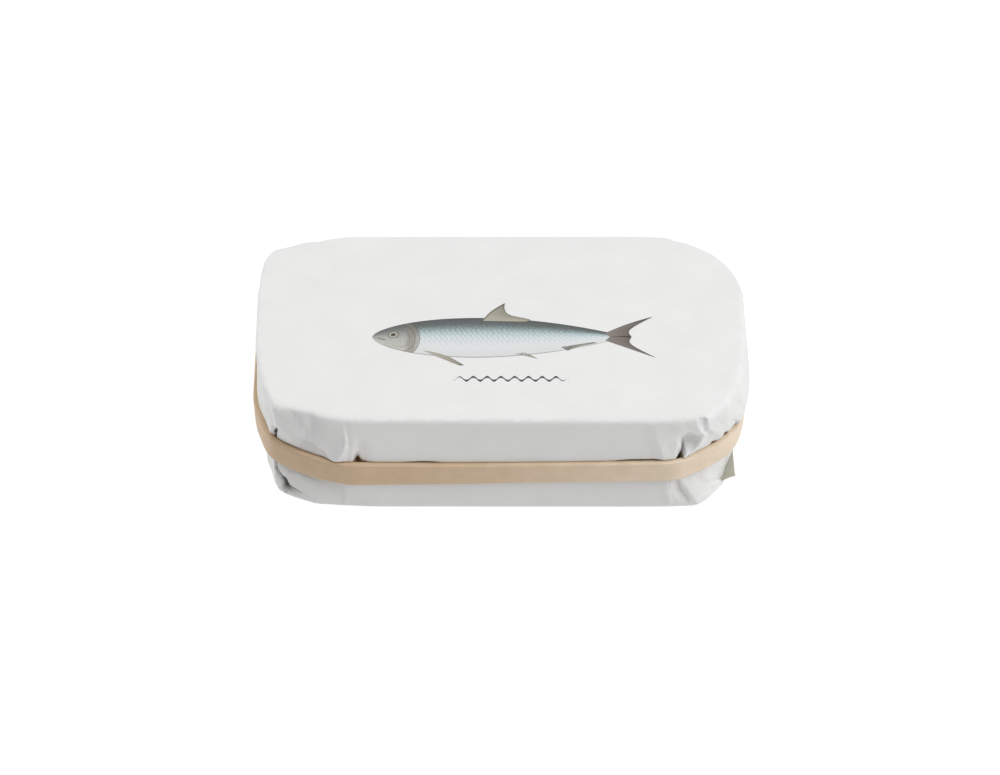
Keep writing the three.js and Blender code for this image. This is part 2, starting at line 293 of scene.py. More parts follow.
class Recipe:
    """A material's nodes, written as expressions."""

    def __init__(self, name: str) -> None:
        """Start a material with only a surface shader in it.

        Args:
            name: the material's name.
        """
        self.material = bpy.data.materials.new(name)
        self.material.use_nodes = True
        self.tree = self.material.node_tree
        self.shader = self.tree.nodes["Principled BSDF"]

    def node(
        self,
        kind: str,
        settings: dict[str, Any] | None = None,
        sockets: dict[int | str, Any] | None = None,
        out: int | str = 0,
    ) -> Wire:
        """Add a node.

        Args:
            kind: the node's type.
            settings: its settings, set first; "stops" is a ramp's places and colours.
            sockets: values or wires of its inputs, by name or number.
            out: the output wanted, by name or number.

        Returns:
            The wire of that output.
        """
        node = self.tree.nodes.new(kind)
        for name, value in (settings or {}).items():
            if name == "stops":
                self._set_stops(node.color_ramp, value)
            else:
                setattr(node, name, value)
        for key, value in (sockets or {}).items():
            self.feed(node.inputs[key], value)
        return Wire(self, node.outputs[out])

    @staticmethod
    def _set_stops(ramp: bpy.types.ColorRamp, stops: Stops) -> None:
        """Set a ramp's stops.

        Args:
            ramp: a new node's ramp.
            stops: its places and colours, from first to last.
        """
        while len(ramp.elements) < len(stops):
            ramp.elements.new(1.0)
        for element, (place, colour) in zip(ramp.elements, stops):
            element.position = place
            element.color = (*colour, 1.0)

    def feed(self, socket: bpy.types.NodeSocket, value: Any) -> None:
        """Link a wire to a socket, or set the socket to a value.

        Args:
            socket: an input of a node.
            value: a wire, a number, or a tuple for a colour or a vector.
        """
        if isinstance(value, Wire):
            self.tree.links.new(value.socket, socket)
        elif isinstance(value, tuple) and socket.type == "RGBA":
            socket.default_value = (*value, 1.0)
        else:
            socket.default_value = value

    def surface(self, values: dict[str, Any]) -> None:
        """Feed the surface shader's sockets by name."""
        for name, value in values.items():
            self.feed(self.shader.inputs[name], value)

    def dress(self, colour: Wire, roughness: Any, sheen: float, normal: Wire) -> bpy.types.Material:
        """Feed the surface shader what every piece of the pack needs.

        Args:
            colour: the base colour.
            roughness: a number, or a wire where it varies.
            sheen: how much the surface reflects, the same all over.
            normal: the bumped normal.

        Returns:
            The finished material.
        """
        self.surface(
            {
                "Base Color": colour,
                "Roughness": roughness,
                "Specular IOR Level": sheen,
                "Normal": normal,
            }
        )
        return self.material

    def millimetres(self) -> Wire:
        """Give the piece's own coordinates in millimetres."""
        place = self.node("ShaderNodeTexCoord", out="Object")
        return self.node("ShaderNodeVectorMath", {"operation": "SCALE"}, {0: place, "Scale": 1 / MM})

    def painted(self, name: str) -> Wire:
        """Read a number that was painted on the piece's vertices."""
        return self.node("ShaderNodeAttribute", {"attribute_name": name}, out="Fac")

    def axes(self, vector: Wire) -> tuple[Wire, Wire, Wire]:
        """Split a vector into its three numbers."""
        split = self.node("ShaderNodeSeparateXYZ", None, {0: vector}).socket.node
        return tuple(Wire(self, output) for output in split.outputs)

    def noise(self, vector: Wire, scale: float, detail: float = 2.0, rough: float = 0.5) -> Wire:
        """Add cloudy noise.

        Args:
            vector: the coordinates that it reads.
            scale: its blots for each millimetre.
            detail: how many finer layers it has.
            rough: how strong the finer layers are.

        Returns:
            The noise, around 0.5.
        """
        sockets = {"Vector": vector, "Scale": scale, "Detail": detail, "Roughness": rough}
        return self.node("ShaderNodeTexNoise", None, sockets)

    def fibres(self, place: Wire) -> Wire:
        """Give the paper's fine fibres."""
        return self.noise(place, FIBRE_SCALE, 3.0, 0.7)

    def step(self, value: Wire, low: float, high: float) -> Wire:
        """Ease from 0 where value is low to 1 where it is high."""
        sockets = {"Value": value, "From Min": low, "From Max": high}
        return self.node("ShaderNodeMapRange", {"interpolation_type": "SMOOTHSTEP"}, sockets)

    def blend(self, share: Any, first: Any, second: Any, how: str = "MIX") -> Wire:
        """Mix two colours by a share."""
        settings = {"data_type": "RGBA", "blend_type": how}
        return self.node("ShaderNodeMix", settings, {0: share, 6: first, 7: second}, out=2)

    def bump(self, height: Wire, depth: float, strength: float = 1.0, under: Wire | None = None) -> Wire:
        """Bump the surface.

        Args:
            height: the relief, from 0 to 1.
            depth: how deep that is, in millimetres.
            strength: how much of it shows.
            under: the normal of a coarser relief that it lies on.

        Returns:
            The bumped normal.
        """
        sockets = {"Height": height, "Distance": depth * MM, "Strength": strength}
        if under is not None:
            sockets["Normal"] = under
        return self.node("ShaderNodeBump", None, sockets)


@dataclass(frozen=True)
class PaperFinish:
    """Plain white wrapping paper: faint fibres, a soft cockle, and fine creases where it is crumpled.

    Next to the band it carries a painted warm reflection of the band, and in deep folds painted shade.
    """

    name: str
    white: Colour
    shade: Colour
    # Painted reflection and shade of the band: the warm brown that the paper is tinted with next to it
    band_reflection_tint: Colour = linear(226, 206, 178)
    # Painted shade: the colour that the paper is darkened towards deep in its folds
    fold_shade_colour: Colour = (0.02, 0.017, 0.012)
    tone_from: float = 0.35
    tone_to: float = 0.65
    roughness: float = 0.78
    cockle_scale: float = 0.12
    cockle_depth: float = 0.05
    crease_scale: float = 0.5
    crease_width: float = 0.25
    crease_depth: float = 0.05
    crease_strength: float = 0.6

    def material(self) -> bpy.types.Material:
        """Write the paper's material.

        Returns:
            The material, which reads three vertex numbers: crumpling, painted band reflection, painted
            shade.
        """
        recipe = Recipe(self.name)
        place = recipe.millimetres()
        fibres = recipe.fibres(place)
        clouds = recipe.noise(place, self.cockle_scale)
        settings = {"feature": "DISTANCE_TO_EDGE"}
        cells = recipe.node("ShaderNodeTexVoronoi", settings, {"Vector": place, "Scale": self.crease_scale})
        creases = (1.0 - recipe.step(cells, 0.0, self.crease_width)) * recipe.painted("crumpled")
        tone = recipe.step(fibres * 0.5 + clouds * 0.5, self.tone_from, self.tone_to)
        plain = recipe.blend(tone, self.shade, self.white)
        # Painted reflection and shade: the paper next to the band takes the band's warm brown
        tinted = recipe.blend(recipe.painted("near_band"), plain, self.band_reflection_tint)
        # Painted shade: deep in folds, pits and slits the paper is darkened
        colour = recipe.blend(recipe.painted("dimmed"), tinted, self.fold_shade_colour)
        soft = recipe.bump(clouds, self.cockle_depth)
        creased = recipe.bump(creases, self.crease_depth, self.crease_strength, soft)
        fine = recipe.bump(fibres, FIBRE_DEPTH, FIBRE_STRENGTH, creased)
        return recipe.dress(colour, self.roughness, PAPER_SHEEN, fine)


@dataclass(frozen=True)
class RubberFinish:
    """Natural rubber with faint bloom, browner on the left and paler on the right: painted shade and light.
    """

    name: str
    # Painted shade and light: the colour on the left and on the right, blended between two places across the
    # pack
    shaded_left: Colour
    lit_right: Colour
    lit_from: float = -25.0
    lit_to: float = 54.0
    bloom_scale: float = 0.25
    bloomed: Colour = (1.04, 1.04, 1.06)
    bare: Colour = (0.96, 0.95, 0.93)
    streak_stretch: Place = (0.12, 0.12, 2.4)
    streak_depth: float = 0.012
    speck_scale: float = 4.0
    roughness: float = 0.55
    roughness_spread: float = 0.15
    sheen: float = 0.35

    def material(self) -> bpy.types.Material:
        """Write the rubber's material.

        Returns:
            The material.
        """
        recipe = Recipe(self.name)
        place = recipe.millimetres()
        across, _, _ = recipe.axes(place)
        # Painted shade and light: darker towards the left, paler towards the right
        body = recipe.blend(recipe.step(across, self.lit_from, self.lit_to), self.shaded_left, self.lit_right)
        bloom = recipe.noise(place, self.bloom_scale, 3.0, 0.6)
        sockets = {"Vector": place, "Scale": self.streak_stretch}
        long_way = recipe.node("ShaderNodeMapping", {"vector_type": "POINT"}, sockets)
        streaks = recipe.noise(long_way, 1.0, 3.0, 0.6)
        specks = recipe.noise(place, self.speck_scale)
        tone = recipe.step(bloom * 0.8 + streaks * 0.2, 0.3, 0.7)
        pale = recipe.blend(1.0, body, self.bloomed, "MULTIPLY")
        deep = recipe.blend(1.0, body, self.bare, "MULTIPLY")
        roughness = self.roughness + (specks - 0.5) * self.roughness_spread
        relief = recipe.bump(streaks * 0.5 + specks * 0.5, self.streak_depth)
        return recipe.dress(recipe.blend(tone, deep, pale), roughness, self.sheen, relief)


@dataclass(frozen=True)
class FishInk:
    """The printed body: dark back, pale blue flank with fine scales, silver belly and a grey head.

    The piece's own map runs from the nose to the tail, and from the belly to the back, and all sizes
    are shares of it. An edge is where a colour begins and where it is full.
    """

    name: str
    flank_inks: Stops = (
        (0.0, linear(218, 219, 218)),
        (0.3, linear(223, 226, 228)),
        (0.5, linear(206, 216, 220)),
        (0.64, linear(168, 187, 190)),
        (0.75, linear(118, 133, 135)),
        (0.84, linear(80, 88, 88)),
        (1.0, linear(60, 65, 65)),
    )
    head_inks: Stops = (
        (0.0, linear(206, 204, 196)),
        (0.45, linear(188, 188, 182)),
        (0.7, linear(140, 142, 140)),
        (0.85, linear(96, 100, 100)),
        (1.0, linear(72, 76, 78)),
    )
    scale_light: Colour = (0.9, 0.95, 0.96)
    scale_shade: Colour = linear(92, 104, 104)
    blush: Colour = linear(118, 108, 82)
    mottle: Colour = linear(104, 102, 92)
    gill_ink: Colour = linear(70, 72, 72)
    mouth_ink: Colour = linear(70, 68, 64)
    eye_inks: tuple[Colour, ...] = (linear(96, 94, 86), linear(196, 192, 172), linear(46, 44, 40))
    outline_ink: Colour = linear(84, 86, 86)
    paper_through: Colour = linear(236, 236, 234)
    unevenness: float = 0.2
    body_shape: float = 0.15
    scale_rows: float = 13.0
    scale_columns: float = 46.0
    scale_shift: float = 0.006
    head_end: Point = (0.1, 0.14)
    gill_centre: Point = (0.105, 0.46)
    gill_edge: Point = (0.088, 0.096)
    gill_rings: tuple[Point, ...] = ((0.094, 0.85), (0.074, 0.55), (0.052, 0.4))
    gill_line: float = 0.0035
    gill_fade: float = 0.02
    mouth_end: float = 0.062
    mouth_fade: float = 0.012
    mouth_slope: float = 2.2
    mouth_edges: tuple[Point, Point] = ((0.4, 0.45), (0.52, 0.47))
    eye: Point = (0.088, 0.62)
    eye_radius: float = 0.019
    eye_edges: tuple[Point, ...] = ((1.5, 1.1), (1.0, 0.8), (0.68, 0.5))
    eye_shares: tuple[float, ...] = (0.7, 1.0, 1.0)

    def material(self) -> bpy.types.Material:
        """Write the printed body's material.

        Returns:
            The material, which reads the piece's own map.
        """
        recipe = Recipe(self.name)
        place = recipe.millimetres()
        along, up, _ = recipe.axes(recipe.node("ShaderNodeUVMap"))
        level = up + (recipe.noise(place, 1.6, 4.0, 0.7) - 0.5) * self.unevenness
        speckle = recipe.noise(place, 5.0, 3.0, 0.7)
        flank = self._flank(recipe, along, up, level, recipe.step(speckle, 0.3, 0.7))
        head = self._head(recipe, along, level, speckle)
        behind = recipe.step(self._reach(along, up, self.gill_centre), *self.gill_edge)
        skin = recipe.blend(behind * recipe.step(along, *self.head_end), head, flank)
        skin = self._gills(recipe, skin, along, up)
        skin = self._mouth(recipe, skin, along, up)
        skin = self._eye(recipe, skin, along, up)
        edge = recipe.step(up, 0.035, 0.0) + recipe.step(up, 0.97, 1.0)
        skin = recipe.blend(edge * 0.6, skin, self.outline_ink)
        fibres = recipe.fibres(place)
        colour = recipe.blend(fibres * 0.16, skin, self.paper_through)
        relief = recipe.bump(fibres, FIBRE_DEPTH, FIBRE_STRENGTH)
        return recipe.dress(colour, INK_ROUGHNESS, PAPER_SHEEN, relief)

    def _flank(self, recipe: Recipe, along: Wire, up: Wire, level: Wire, worn: Wire) -> Wire:
        """Colour the body behind the head.

        Args:
            recipe: the material being written.
            along: the share from the nose to the tail.
            up: the share from the belly to the back.
            level: the same, with uneven borders.
            worn: where the light rims of the scales are whole.

        Returns:
            The colour.
        """
        flank = recipe.node("ShaderNodeValToRGB", {"stops": self.flank_inks}, {"Fac": level})
        high = self._scales(recipe, along, up) * worn
        scaled = recipe.blend(high, flank, self.scale_light, "OVERLAY")
        low = self._scales(recipe, along + self.scale_shift, up) * (1.0 - worn * 0.7)
        return recipe.blend(low * 0.45, scaled, self.scale_shade)

    def _scales(self, recipe: Recipe, along: Wire, up: Wire) -> Wire:
        """Draw the rims of the scales, in rows that are offset by half a scale.

        Args:
            recipe: the material being written.
            along: the share from the nose to the tail.
            up: the share from the belly to the back.

        Returns:
            The share of rim, which fades out at the belly and the back.
        """
        row = up * self.scale_rows
        odd = recipe.node("ShaderNodeMath", {"operation": "PINGPONG"}, {0: row, 1: 1.0})
        across = along * self.scale_columns + row * 0.5
        cell = recipe.node("ShaderNodeMath", {"operation": "FRACT"}, {0: across})
        crest = recipe.node("ShaderNodeMath", {"operation": "FRACT"}, {0: across + odd})
        band = recipe.step(up, 0.12, 0.45) * recipe.step(up, 0.98, 0.7)
        return recipe.step(cell * crest, 0.3, 0.75) * band

    def _head(self, recipe: Recipe, along: Wire, level: Wire, speckle: Wire) -> Wire:
        """Colour the head: dark above, silver-grey cheeks and a warm mottled blush behind the eye.

        Args:
            recipe: the material being written.
            along: the share from the nose to the tail.
            level: the share from the belly to the back, with uneven borders.
            speckle: fine noise.

        Returns:
            The colour.
        """
        cheek = recipe.node("ShaderNodeValToRGB", {"stops": self.head_inks}, {"Fac": level})
        warmth = recipe.step(along, 0.13, 0.16) * recipe.step(along, 0.2, 0.17)
        warm = recipe.blend(warmth * 0.5, cheek, self.blush)
        return recipe.blend(recipe.step(speckle, 0.42, 0.62) * 0.5, warm, self.mottle)

    def _gills(self, recipe: Recipe, skin: Wire, along: Wire, up: Wire) -> Wire:
        """Draw the gill covers: thin dark rings, only on their side to the tail.

        Args:
            recipe: the material being written.
            skin: the colour so far.
            along: the share from the nose to the tail.
            up: the share from the belly to the back.

        Returns:
            The colour with the gill covers on it.
        """
        reach = self._reach(along, up, self.gill_centre)
        middle = self.gill_centre[0]
        hind = recipe.step(along, middle - self.gill_fade, middle + self.gill_fade)
        for radius, dark in self.gill_rings:
            inner = recipe.step(reach, radius - self.gill_line, radius)
            outer = recipe.step(reach, radius + self.gill_line, radius)
            skin = recipe.blend(inner * outer * hind * dark, skin, self.gill_ink)
        return skin

    def _mouth(self, recipe: Recipe, skin: Wire, along: Wire, up: Wire) -> Wire:
        """Draw the mouth: one short slanting line from the nose.

        Args:
            recipe: the material being written.
            skin: the colour so far.
            along: the share from the nose to the tail.
            up: the share from the belly to the back.

        Returns:
            The colour with the mouth on it.
        """
        near = recipe.step(along, self.mouth_end, self.mouth_end - self.mouth_fade)
        lip = up + along * self.mouth_slope
        below, above = (recipe.step(lip, *edge) for edge in self.mouth_edges)
        return recipe.blend(near * below * above * 0.8, skin, self.mouth_ink)

    def _eye(self, recipe: Recipe, skin: Wire, along: Wire, up: Wire) -> Wire:
        """Draw the eye: a soft socket, a pale iris and a dark pupil.

        Args:
            recipe: the material being written.
            skin: the colour so far.
            along: the share from the nose to the tail.
            up: the share from the belly to the back.

        Returns:
            The colour with the eye on it.
        """
        reach = self._reach(along, up, self.eye)
        for (begin, full), share, ink in zip(self.eye_edges, self.eye_shares, self.eye_inks):
            disc = recipe.step(reach, begin * self.eye_radius, full * self.eye_radius)
            skin = recipe.blend(disc * share, skin, ink)
        return skin

    def _reach(self, along: Wire, up: Wire, centre: Point) -> Wire:
        """Give the distance from a centre, in shares of the body's length."""
        return ((along - centre[0]) ** 2.0 + ((up - centre[1]) * self.body_shape) ** 2.0) ** 0.5


@dataclass(frozen=True)
class FinInk:
    """A printed fin: fine rays from its root to its edge, darker to the tip and along its rim."""

    name: str
    pale: Colour
    dark: Colour
    rays: float = 22.0
    ray_dark: float = 0.25
    plain_dark: float = 0.3
    tip_dark: float = 0.35
    rim_dark: float = 0.5
    full_dark: float = 1.1

    def material(self) -> bpy.types.Material:
        """Write the fin's material.

        Returns:
            The material, which reads the piece's own map.
        """
        recipe = Recipe(self.name)
        out, across, _ = recipe.axes(recipe.node("ShaderNodeUVMap"))
        wave = recipe.node("ShaderNodeMath", {"operation": "SINE"}, {0: across * (self.rays * math.tau)})
        rim = recipe.step(across, 0.08, 0.0) + recipe.step(out, 0.93, 1.0)
        share = wave * self.ray_dark + self.plain_dark + out * self.tip_dark + rim * self.rim_dark
        colour = recipe.blend(recipe.step(share, 0.0, self.full_dark), self.pale, self.dark)
        relief = recipe.bump(recipe.fibres(recipe.millimetres()), FIBRE_DEPTH, FIBRE_STRENGTH)
        return recipe.dress(colour, INK_ROUGHNESS, PAPER_SHEEN, relief)


@dataclass(frozen=True)
class PlainInk:
    """One dark ink, worn thin in places."""

    name: str
    dark: Colour
    worn: Colour
    wear_scale: float = 2.0

    def material(self) -> bpy.types.Material:
        """Write the ink's material.

        Returns:
            The material.
        """
        recipe = Recipe(self.name)
        wear = recipe.noise(recipe.millimetres(), self.wear_scale, 3.0, 0.7)
        colour = recipe.blend(recipe.step(wear, 0.4, 0.8), self.dark, self.worn)
        relief = recipe.bump(wear, FIBRE_DEPTH, FIBRE_STRENGTH)
        return recipe.dress(colour, INK_ROUGHNESS, PAPER_SHEEN, relief)


FISH_INK = FishInk("fish_ink")
BEIGE_FIN_INK = FinInk("beige_fin_ink", linear(196, 192, 176), linear(104, 100, 90))
BROWN_FIN_INK = FinInk("brown_fin_ink", linear(150, 142, 136), linear(84, 76, 72))
GREY_INK = PlainInk("grey_ink", linear(74, 74, 74), linear(120, 120, 120))
WHITE_PAPER = PaperFinish("white_paper", linear(238, 238, 237), linear(234, 234, 233))
# Painted shade: the ear's paper is darker and greener, as its face turns away from the light
SHADED_PAPER = PaperFinish("shaded_paper", linear(200, 201, 186), linear(190, 191, 174))
# The rubber's colour goes from painted shade on the left to painted light on the right
TAN_RUBBER = RubberFinish("tan_rubber", linear(211, 184, 153), linear(236, 218, 194))


# The walls of the pack


class Corner(Enum):
    """The pack's four corners."""

    FRONT_LEFT = "front left"
    FRONT_RIGHT = "front right"
    BACK_RIGHT = "back right"
    BACK_LEFT = "back left"


@dataclass(frozen=True)
class RoundedBox:
    """The plain rounded box that the wrapped pack comes from, with stations along its walls."""

    length: float = 107.8
    width: float = 62.0
    height: float = 24.8
    corner_radius: float = 19.5

    @property
    def front_run(self) -> float:
        """Half the straight part of the front."""
        return self.length / 2 - self.corner_radius

    @property
    def side_run(self) -> float:
        """Half the straight part of a side."""
        return self.width / 2 - self.corner_radius

    @property
    def corner_run(self) -> float:
        """The length of one corner's arc."""
        return self.corner_radius * math.pi / 2

    @property
    def half_round(self) -> float:
        """Half the way round the walls."""
        return 2 * (self.front_run + self.side_run + self.corner_run)

    def station(self, corner: Corner, degrees: float) -> float:
        """Find a place on a corner.

        Args:
            corner: which corner.
            degrees: the angle on it, from the front or from the back.

        Returns:
            The place's station.
        """
        run = self.front_run + self.corner_radius * math.radians(degrees)
        if corner in (Corner.BACK_RIGHT, Corner.BACK_LEFT):
            run = self.half_round - run
        return -run if corner in (Corner.FRONT_LEFT, Corner.BACK_LEFT) else run

    def wall(self, stations: Field) -> tuple[Field, Field, Field, Field]:
        """Find the walls in plan.

        Args:
            stations: places along the walls.

        Returns:
            X and Y of each place, and the X and Y of the direction straight out from it.
        """
        turned = (stations + self.half_round) % (2 * self.half_round) - self.half_round
        side = np.where(turned < 0, -1.0, 1.0)
        run = np.abs(turned)
        front, corner, flank = self.front_run, self.corner_run, 2 * self.side_run
        angle = np.clip(run - front, 0, corner) + np.clip(run - front - corner - flank, 0, corner)
        angle = angle / self.corner_radius
        back = np.clip(run - front - 2 * corner - flank, 0, front)
        centre_x = side * (np.clip(run, 0, front) - back)
        centre_y = np.clip(run - front - corner, 0, flank) - self.side_run
        out_x, out_y = side * np.sin(angle), -np.cos(angle)
        radius = self.corner_radius
        return centre_x + radius * out_x, centre_y + radius * out_y, out_x, out_y


BOX = RoundedBox()


@dataclass(frozen=True)
class Outline:
    """A closed line round the walls, straight in plan from knot to knot, with its bends rounded.

    A knot is an angle on a corner, in degrees, and an offset.
    """

    front_left: tuple[Point, ...]
    front_right: tuple[Point, ...]
    back_right: tuple[Point, ...]
    back_left: tuple[Point, ...]
    softness: float = 0.6

    def offsets(self, stations: Field) -> Field:
        """Work out how far the line stands out.

        Args:
            stations: places along the walls.

        Returns:
            The offset at each of them.
        """
        corners = zip(Corner, (self.front_left, self.front_right, self.back_right, self.back_left))
        knots = sorted((BOX.station(c, degrees), out) for c, row in corners for degrees, out in row)
        whole = 2 * BOX.half_round
        at = np.array([knots[-1][0] - whole, *(k[0] for k in knots), knots[0][0] + whole])
        out = np.array([knots[-1][1], *(k[1] for k in knots), knots[0][1]])
        x, y, out_x, out_y = BOX.wall(at)
        x, y = x + out * out_x, y + out * out_y
        count = round(whole / FINE_STEP)
        fine = np.linspace(-BOX.half_round, BOX.half_round, count, endpoint=False)
        begin = np.searchsorted(at, fine, side="right") - 1
        run_x, run_y = (x[begin + 1] - x[begin], y[begin + 1] - y[begin])
        here_x, here_y, dir_x, dir_y = BOX.wall(fine)
        away = (x[begin] - here_x) * run_y - (y[begin] - here_y) * run_x
        sharp = away / (dir_x * run_y - dir_y * run_x)
        rounded = soften_ring(sharp, self.softness)
        return np.interp(stations, fine, rounded, period=whole)


def soften_ring(values: Field, softness: float) -> Field:
    """Round off a closed row of fine values.

    Args:
        values: the values, a fine step apart, the last one next to the first.
        softness: the spread of the rounding along the walls.

    Returns:
        The rounded values.
    """
    reach = max(1, math.ceil(3 * softness / FINE_STEP))
    away = np.arange(-reach, reach + 1) * FINE_STEP
    weight = np.exp(-0.5 * (away / softness) ** 2)
    wrapped = np.concatenate([values[-reach:], values, values[:reach]])
    return np.convolve(wrapped, weight / weight.sum(), mode="valid")


TOP_OUTLINE = Outline(
    ((-13, -0.3), (2, -1.1), (22, -2.1), (41, -0.7), (62, -2.5), (75, -3.1), (88, -2.9), (104, -1.9)),
    ((0, -0.1), (10, -0.2), (25, 0.4), (46, 0.5), (68, 0.4), (90, 0.3), (112, 0.7)),
    ((0, 0.6), (12, 0.5), (30, 0.1), (50, 0), (70, 0.1), (90, 0.5), (112, 0.7)),
    ((0, 0.5), (25, 0.5), (38, 1.3), (49, 2.5), (56, 2.3), (68, 0.5), (90, -0.9)),
    softness=0.4,
)
BAND_OUTLINE = Outline(
    ((-9, -0.3), (10, -2), (26, -2.6), (48, -2.3), (58, -2.7), (68, -3.1), (80, -2.9), (92, -2.4)),
    ((0, -0.6), (10, -0.6), (28, -1.7), (46, -1.6), (58, -1.6), (68, -1.9), (78, -2), (90, -1.6)),
    ((0, -0.3), (30, -0.9), (60, -1.4), (90, -1.5)),
    ((0, -0.3), (35, -0.9), (65, -1.6), (90, -1.3)),
    softness=1.1,
)
FOOT_OUTLINE = Outline(
    ((-26, 0.5), (-6, 0.15), (14, 0.1), (36, 0.2), (46, -0.7), (58, -2.2), (70, -2.8), (90, -2.6)),
    ((0, 0.55), (11, 0.8), (22, 1.6), (30, 1.3), (40, 0.2), (50, -0.4), (66, -1.4), (90, -1.6)),
    ((0, 0.6), (16, 1.2), (32, 1.3), (50, 0.2), (68, -1), (90, -1.6)),
    ((0, 0.6), (20, 1.1), (40, 1.1), (58, 0), (74, -1), (90, -1.6)),
)


@dataclass(frozen=True)
class BandSize:
    """The rubber band's size and height on the walls."""

    lower_left: float = 7.1
    lower_right: float = 8.6
    upper_left: float = 13.4
    upper_middle: float = 13.0
    upper_right: float = 13.8
    upper_bend: float = 1.5
    thickness: float = 1.2
    gap: float = 0.3
    edge_round: float = 0.35

    def edges(self, x: Field) -> tuple[Field, Field]:
        """Work out where the band's edges run.

        Args:
            x: places across the pack, from left to right.

        Returns:
            The heights of the lower and the upper edge there.
        """
        across = np.clip(2 * x / BOX.length, -1, 1)
        low = (self.lower_left + self.lower_right + across * (self.lower_right - self.lower_left)) / 2
        side = np.where(across < 0, self.upper_left, self.upper_right)
        high = self.upper_middle + np.abs(across) ** self.upper_bend * (side - self.upper_middle)
        return low, high


BAND = BandSize()


class FoldForm(Enum):
    """What a fold looks like across its line."""

    CREASE = "straight flanks that meet in a sharp line"
    SOFT = "rounded flanks"
    LIFT = "a free edge: the paper to the left of the line stands proud of the rest"


@dataclass(frozen=True)
class Fold:
    """A fold along a line on the wall.

    Places are station, height and how far the paper stands out or in there. The reaches are how far
    it fades to the left and to the right of the line, as one walks along it seen from outside: one
    number, or one for each place.
    """

    places: tuple[Place, ...]
    left: float | tuple[float, ...]
    right: float | tuple[float, ...]
    form: FoldForm = FoldForm.CREASE
    edge: float = 0.25

    def offsets(self, stations: Field, heights: Field) -> Field:
        """Work out how far the fold moves the paper.

        Args:
            stations: places along the walls.
            heights: their heights.

        Returns:
            The offset at each place: nothing beyond the fold's reaches.
        """
        count = len(self.places)
        reaches = [np.broadcast_to(reach, count) for reach in (self.left, self.right)]
        rows = np.column_stack([self.places, *reaches])
        nearest = np.full(stations.shape, np.inf)
        rise, left, right, leftward = (np.zeros(stations.shape) for _ in range(4))
        for start, end in zip(rows, rows[1:]):
            run, climb = end[:2] - start[:2]
            length = math.hypot(run, climb)
            away_s, away_z = stations - start[0], heights - start[1]
            share = np.clip((away_s * run + away_z * climb) / length**2, 0, 1)
            distance = np.hypot(away_s - share * run, away_z - share * climb)
            closer = distance < nearest
            nearest = np.where(closer, distance, nearest)
            rise, left, right = (
                np.where(closer, start[k] + share * (end[k] - start[k]), value)
                for k, value in ((2, rise), (3, left), (4, right))
            )
            leftward = np.where(closer, (run * away_z - climb * away_s) / length, leftward)
        flank = np.clip(1 - nearest / np.where(leftward > 0, left, right), 0, 1)
        if self.form is FoldForm.SOFT:
            flank = smooth(flank)
        if self.form is FoldForm.LIFT:
            flank = flank * smooth(0.5 + leftward / self.edge)
        return rise * flank


@dataclass(frozen=True)
class Shoulder:
    """The right front corner's slope, where the paper comes down from the top to a falling line.

    Places are a station, the line's height there and how far the top edge is drawn in.
    """

    places: tuple[Place, ...] = (
        (42.5, 24.2, 0.0),
        (45.5, 22.6, 0.5),
        (48.5, 20.8, 1.1),
        (52, 18.2, 2.0),
        (56, 17.2, 2.6),
        (64, 17.5, 2.5),
        (76, 19, 1.6),
        (92, 23, 0.0),
    )
    bend: float = 1.35

    def offsets(self, stations: Field, heights: Field) -> Field:
        """Work out how far the shoulder draws the paper in.

        Args:
            stations: places along the walls.
            heights: their heights.

        Returns:
            The offset at each place, nothing or less.
        """
        at, lines, depths = np.transpose(self.places)
        line = np.interp(stations, at, lines)
        depth = np.interp(stations, at, depths)
        return -depth * np.clip((heights - line) / (BOX.height - line), 0, 1) ** self.bend


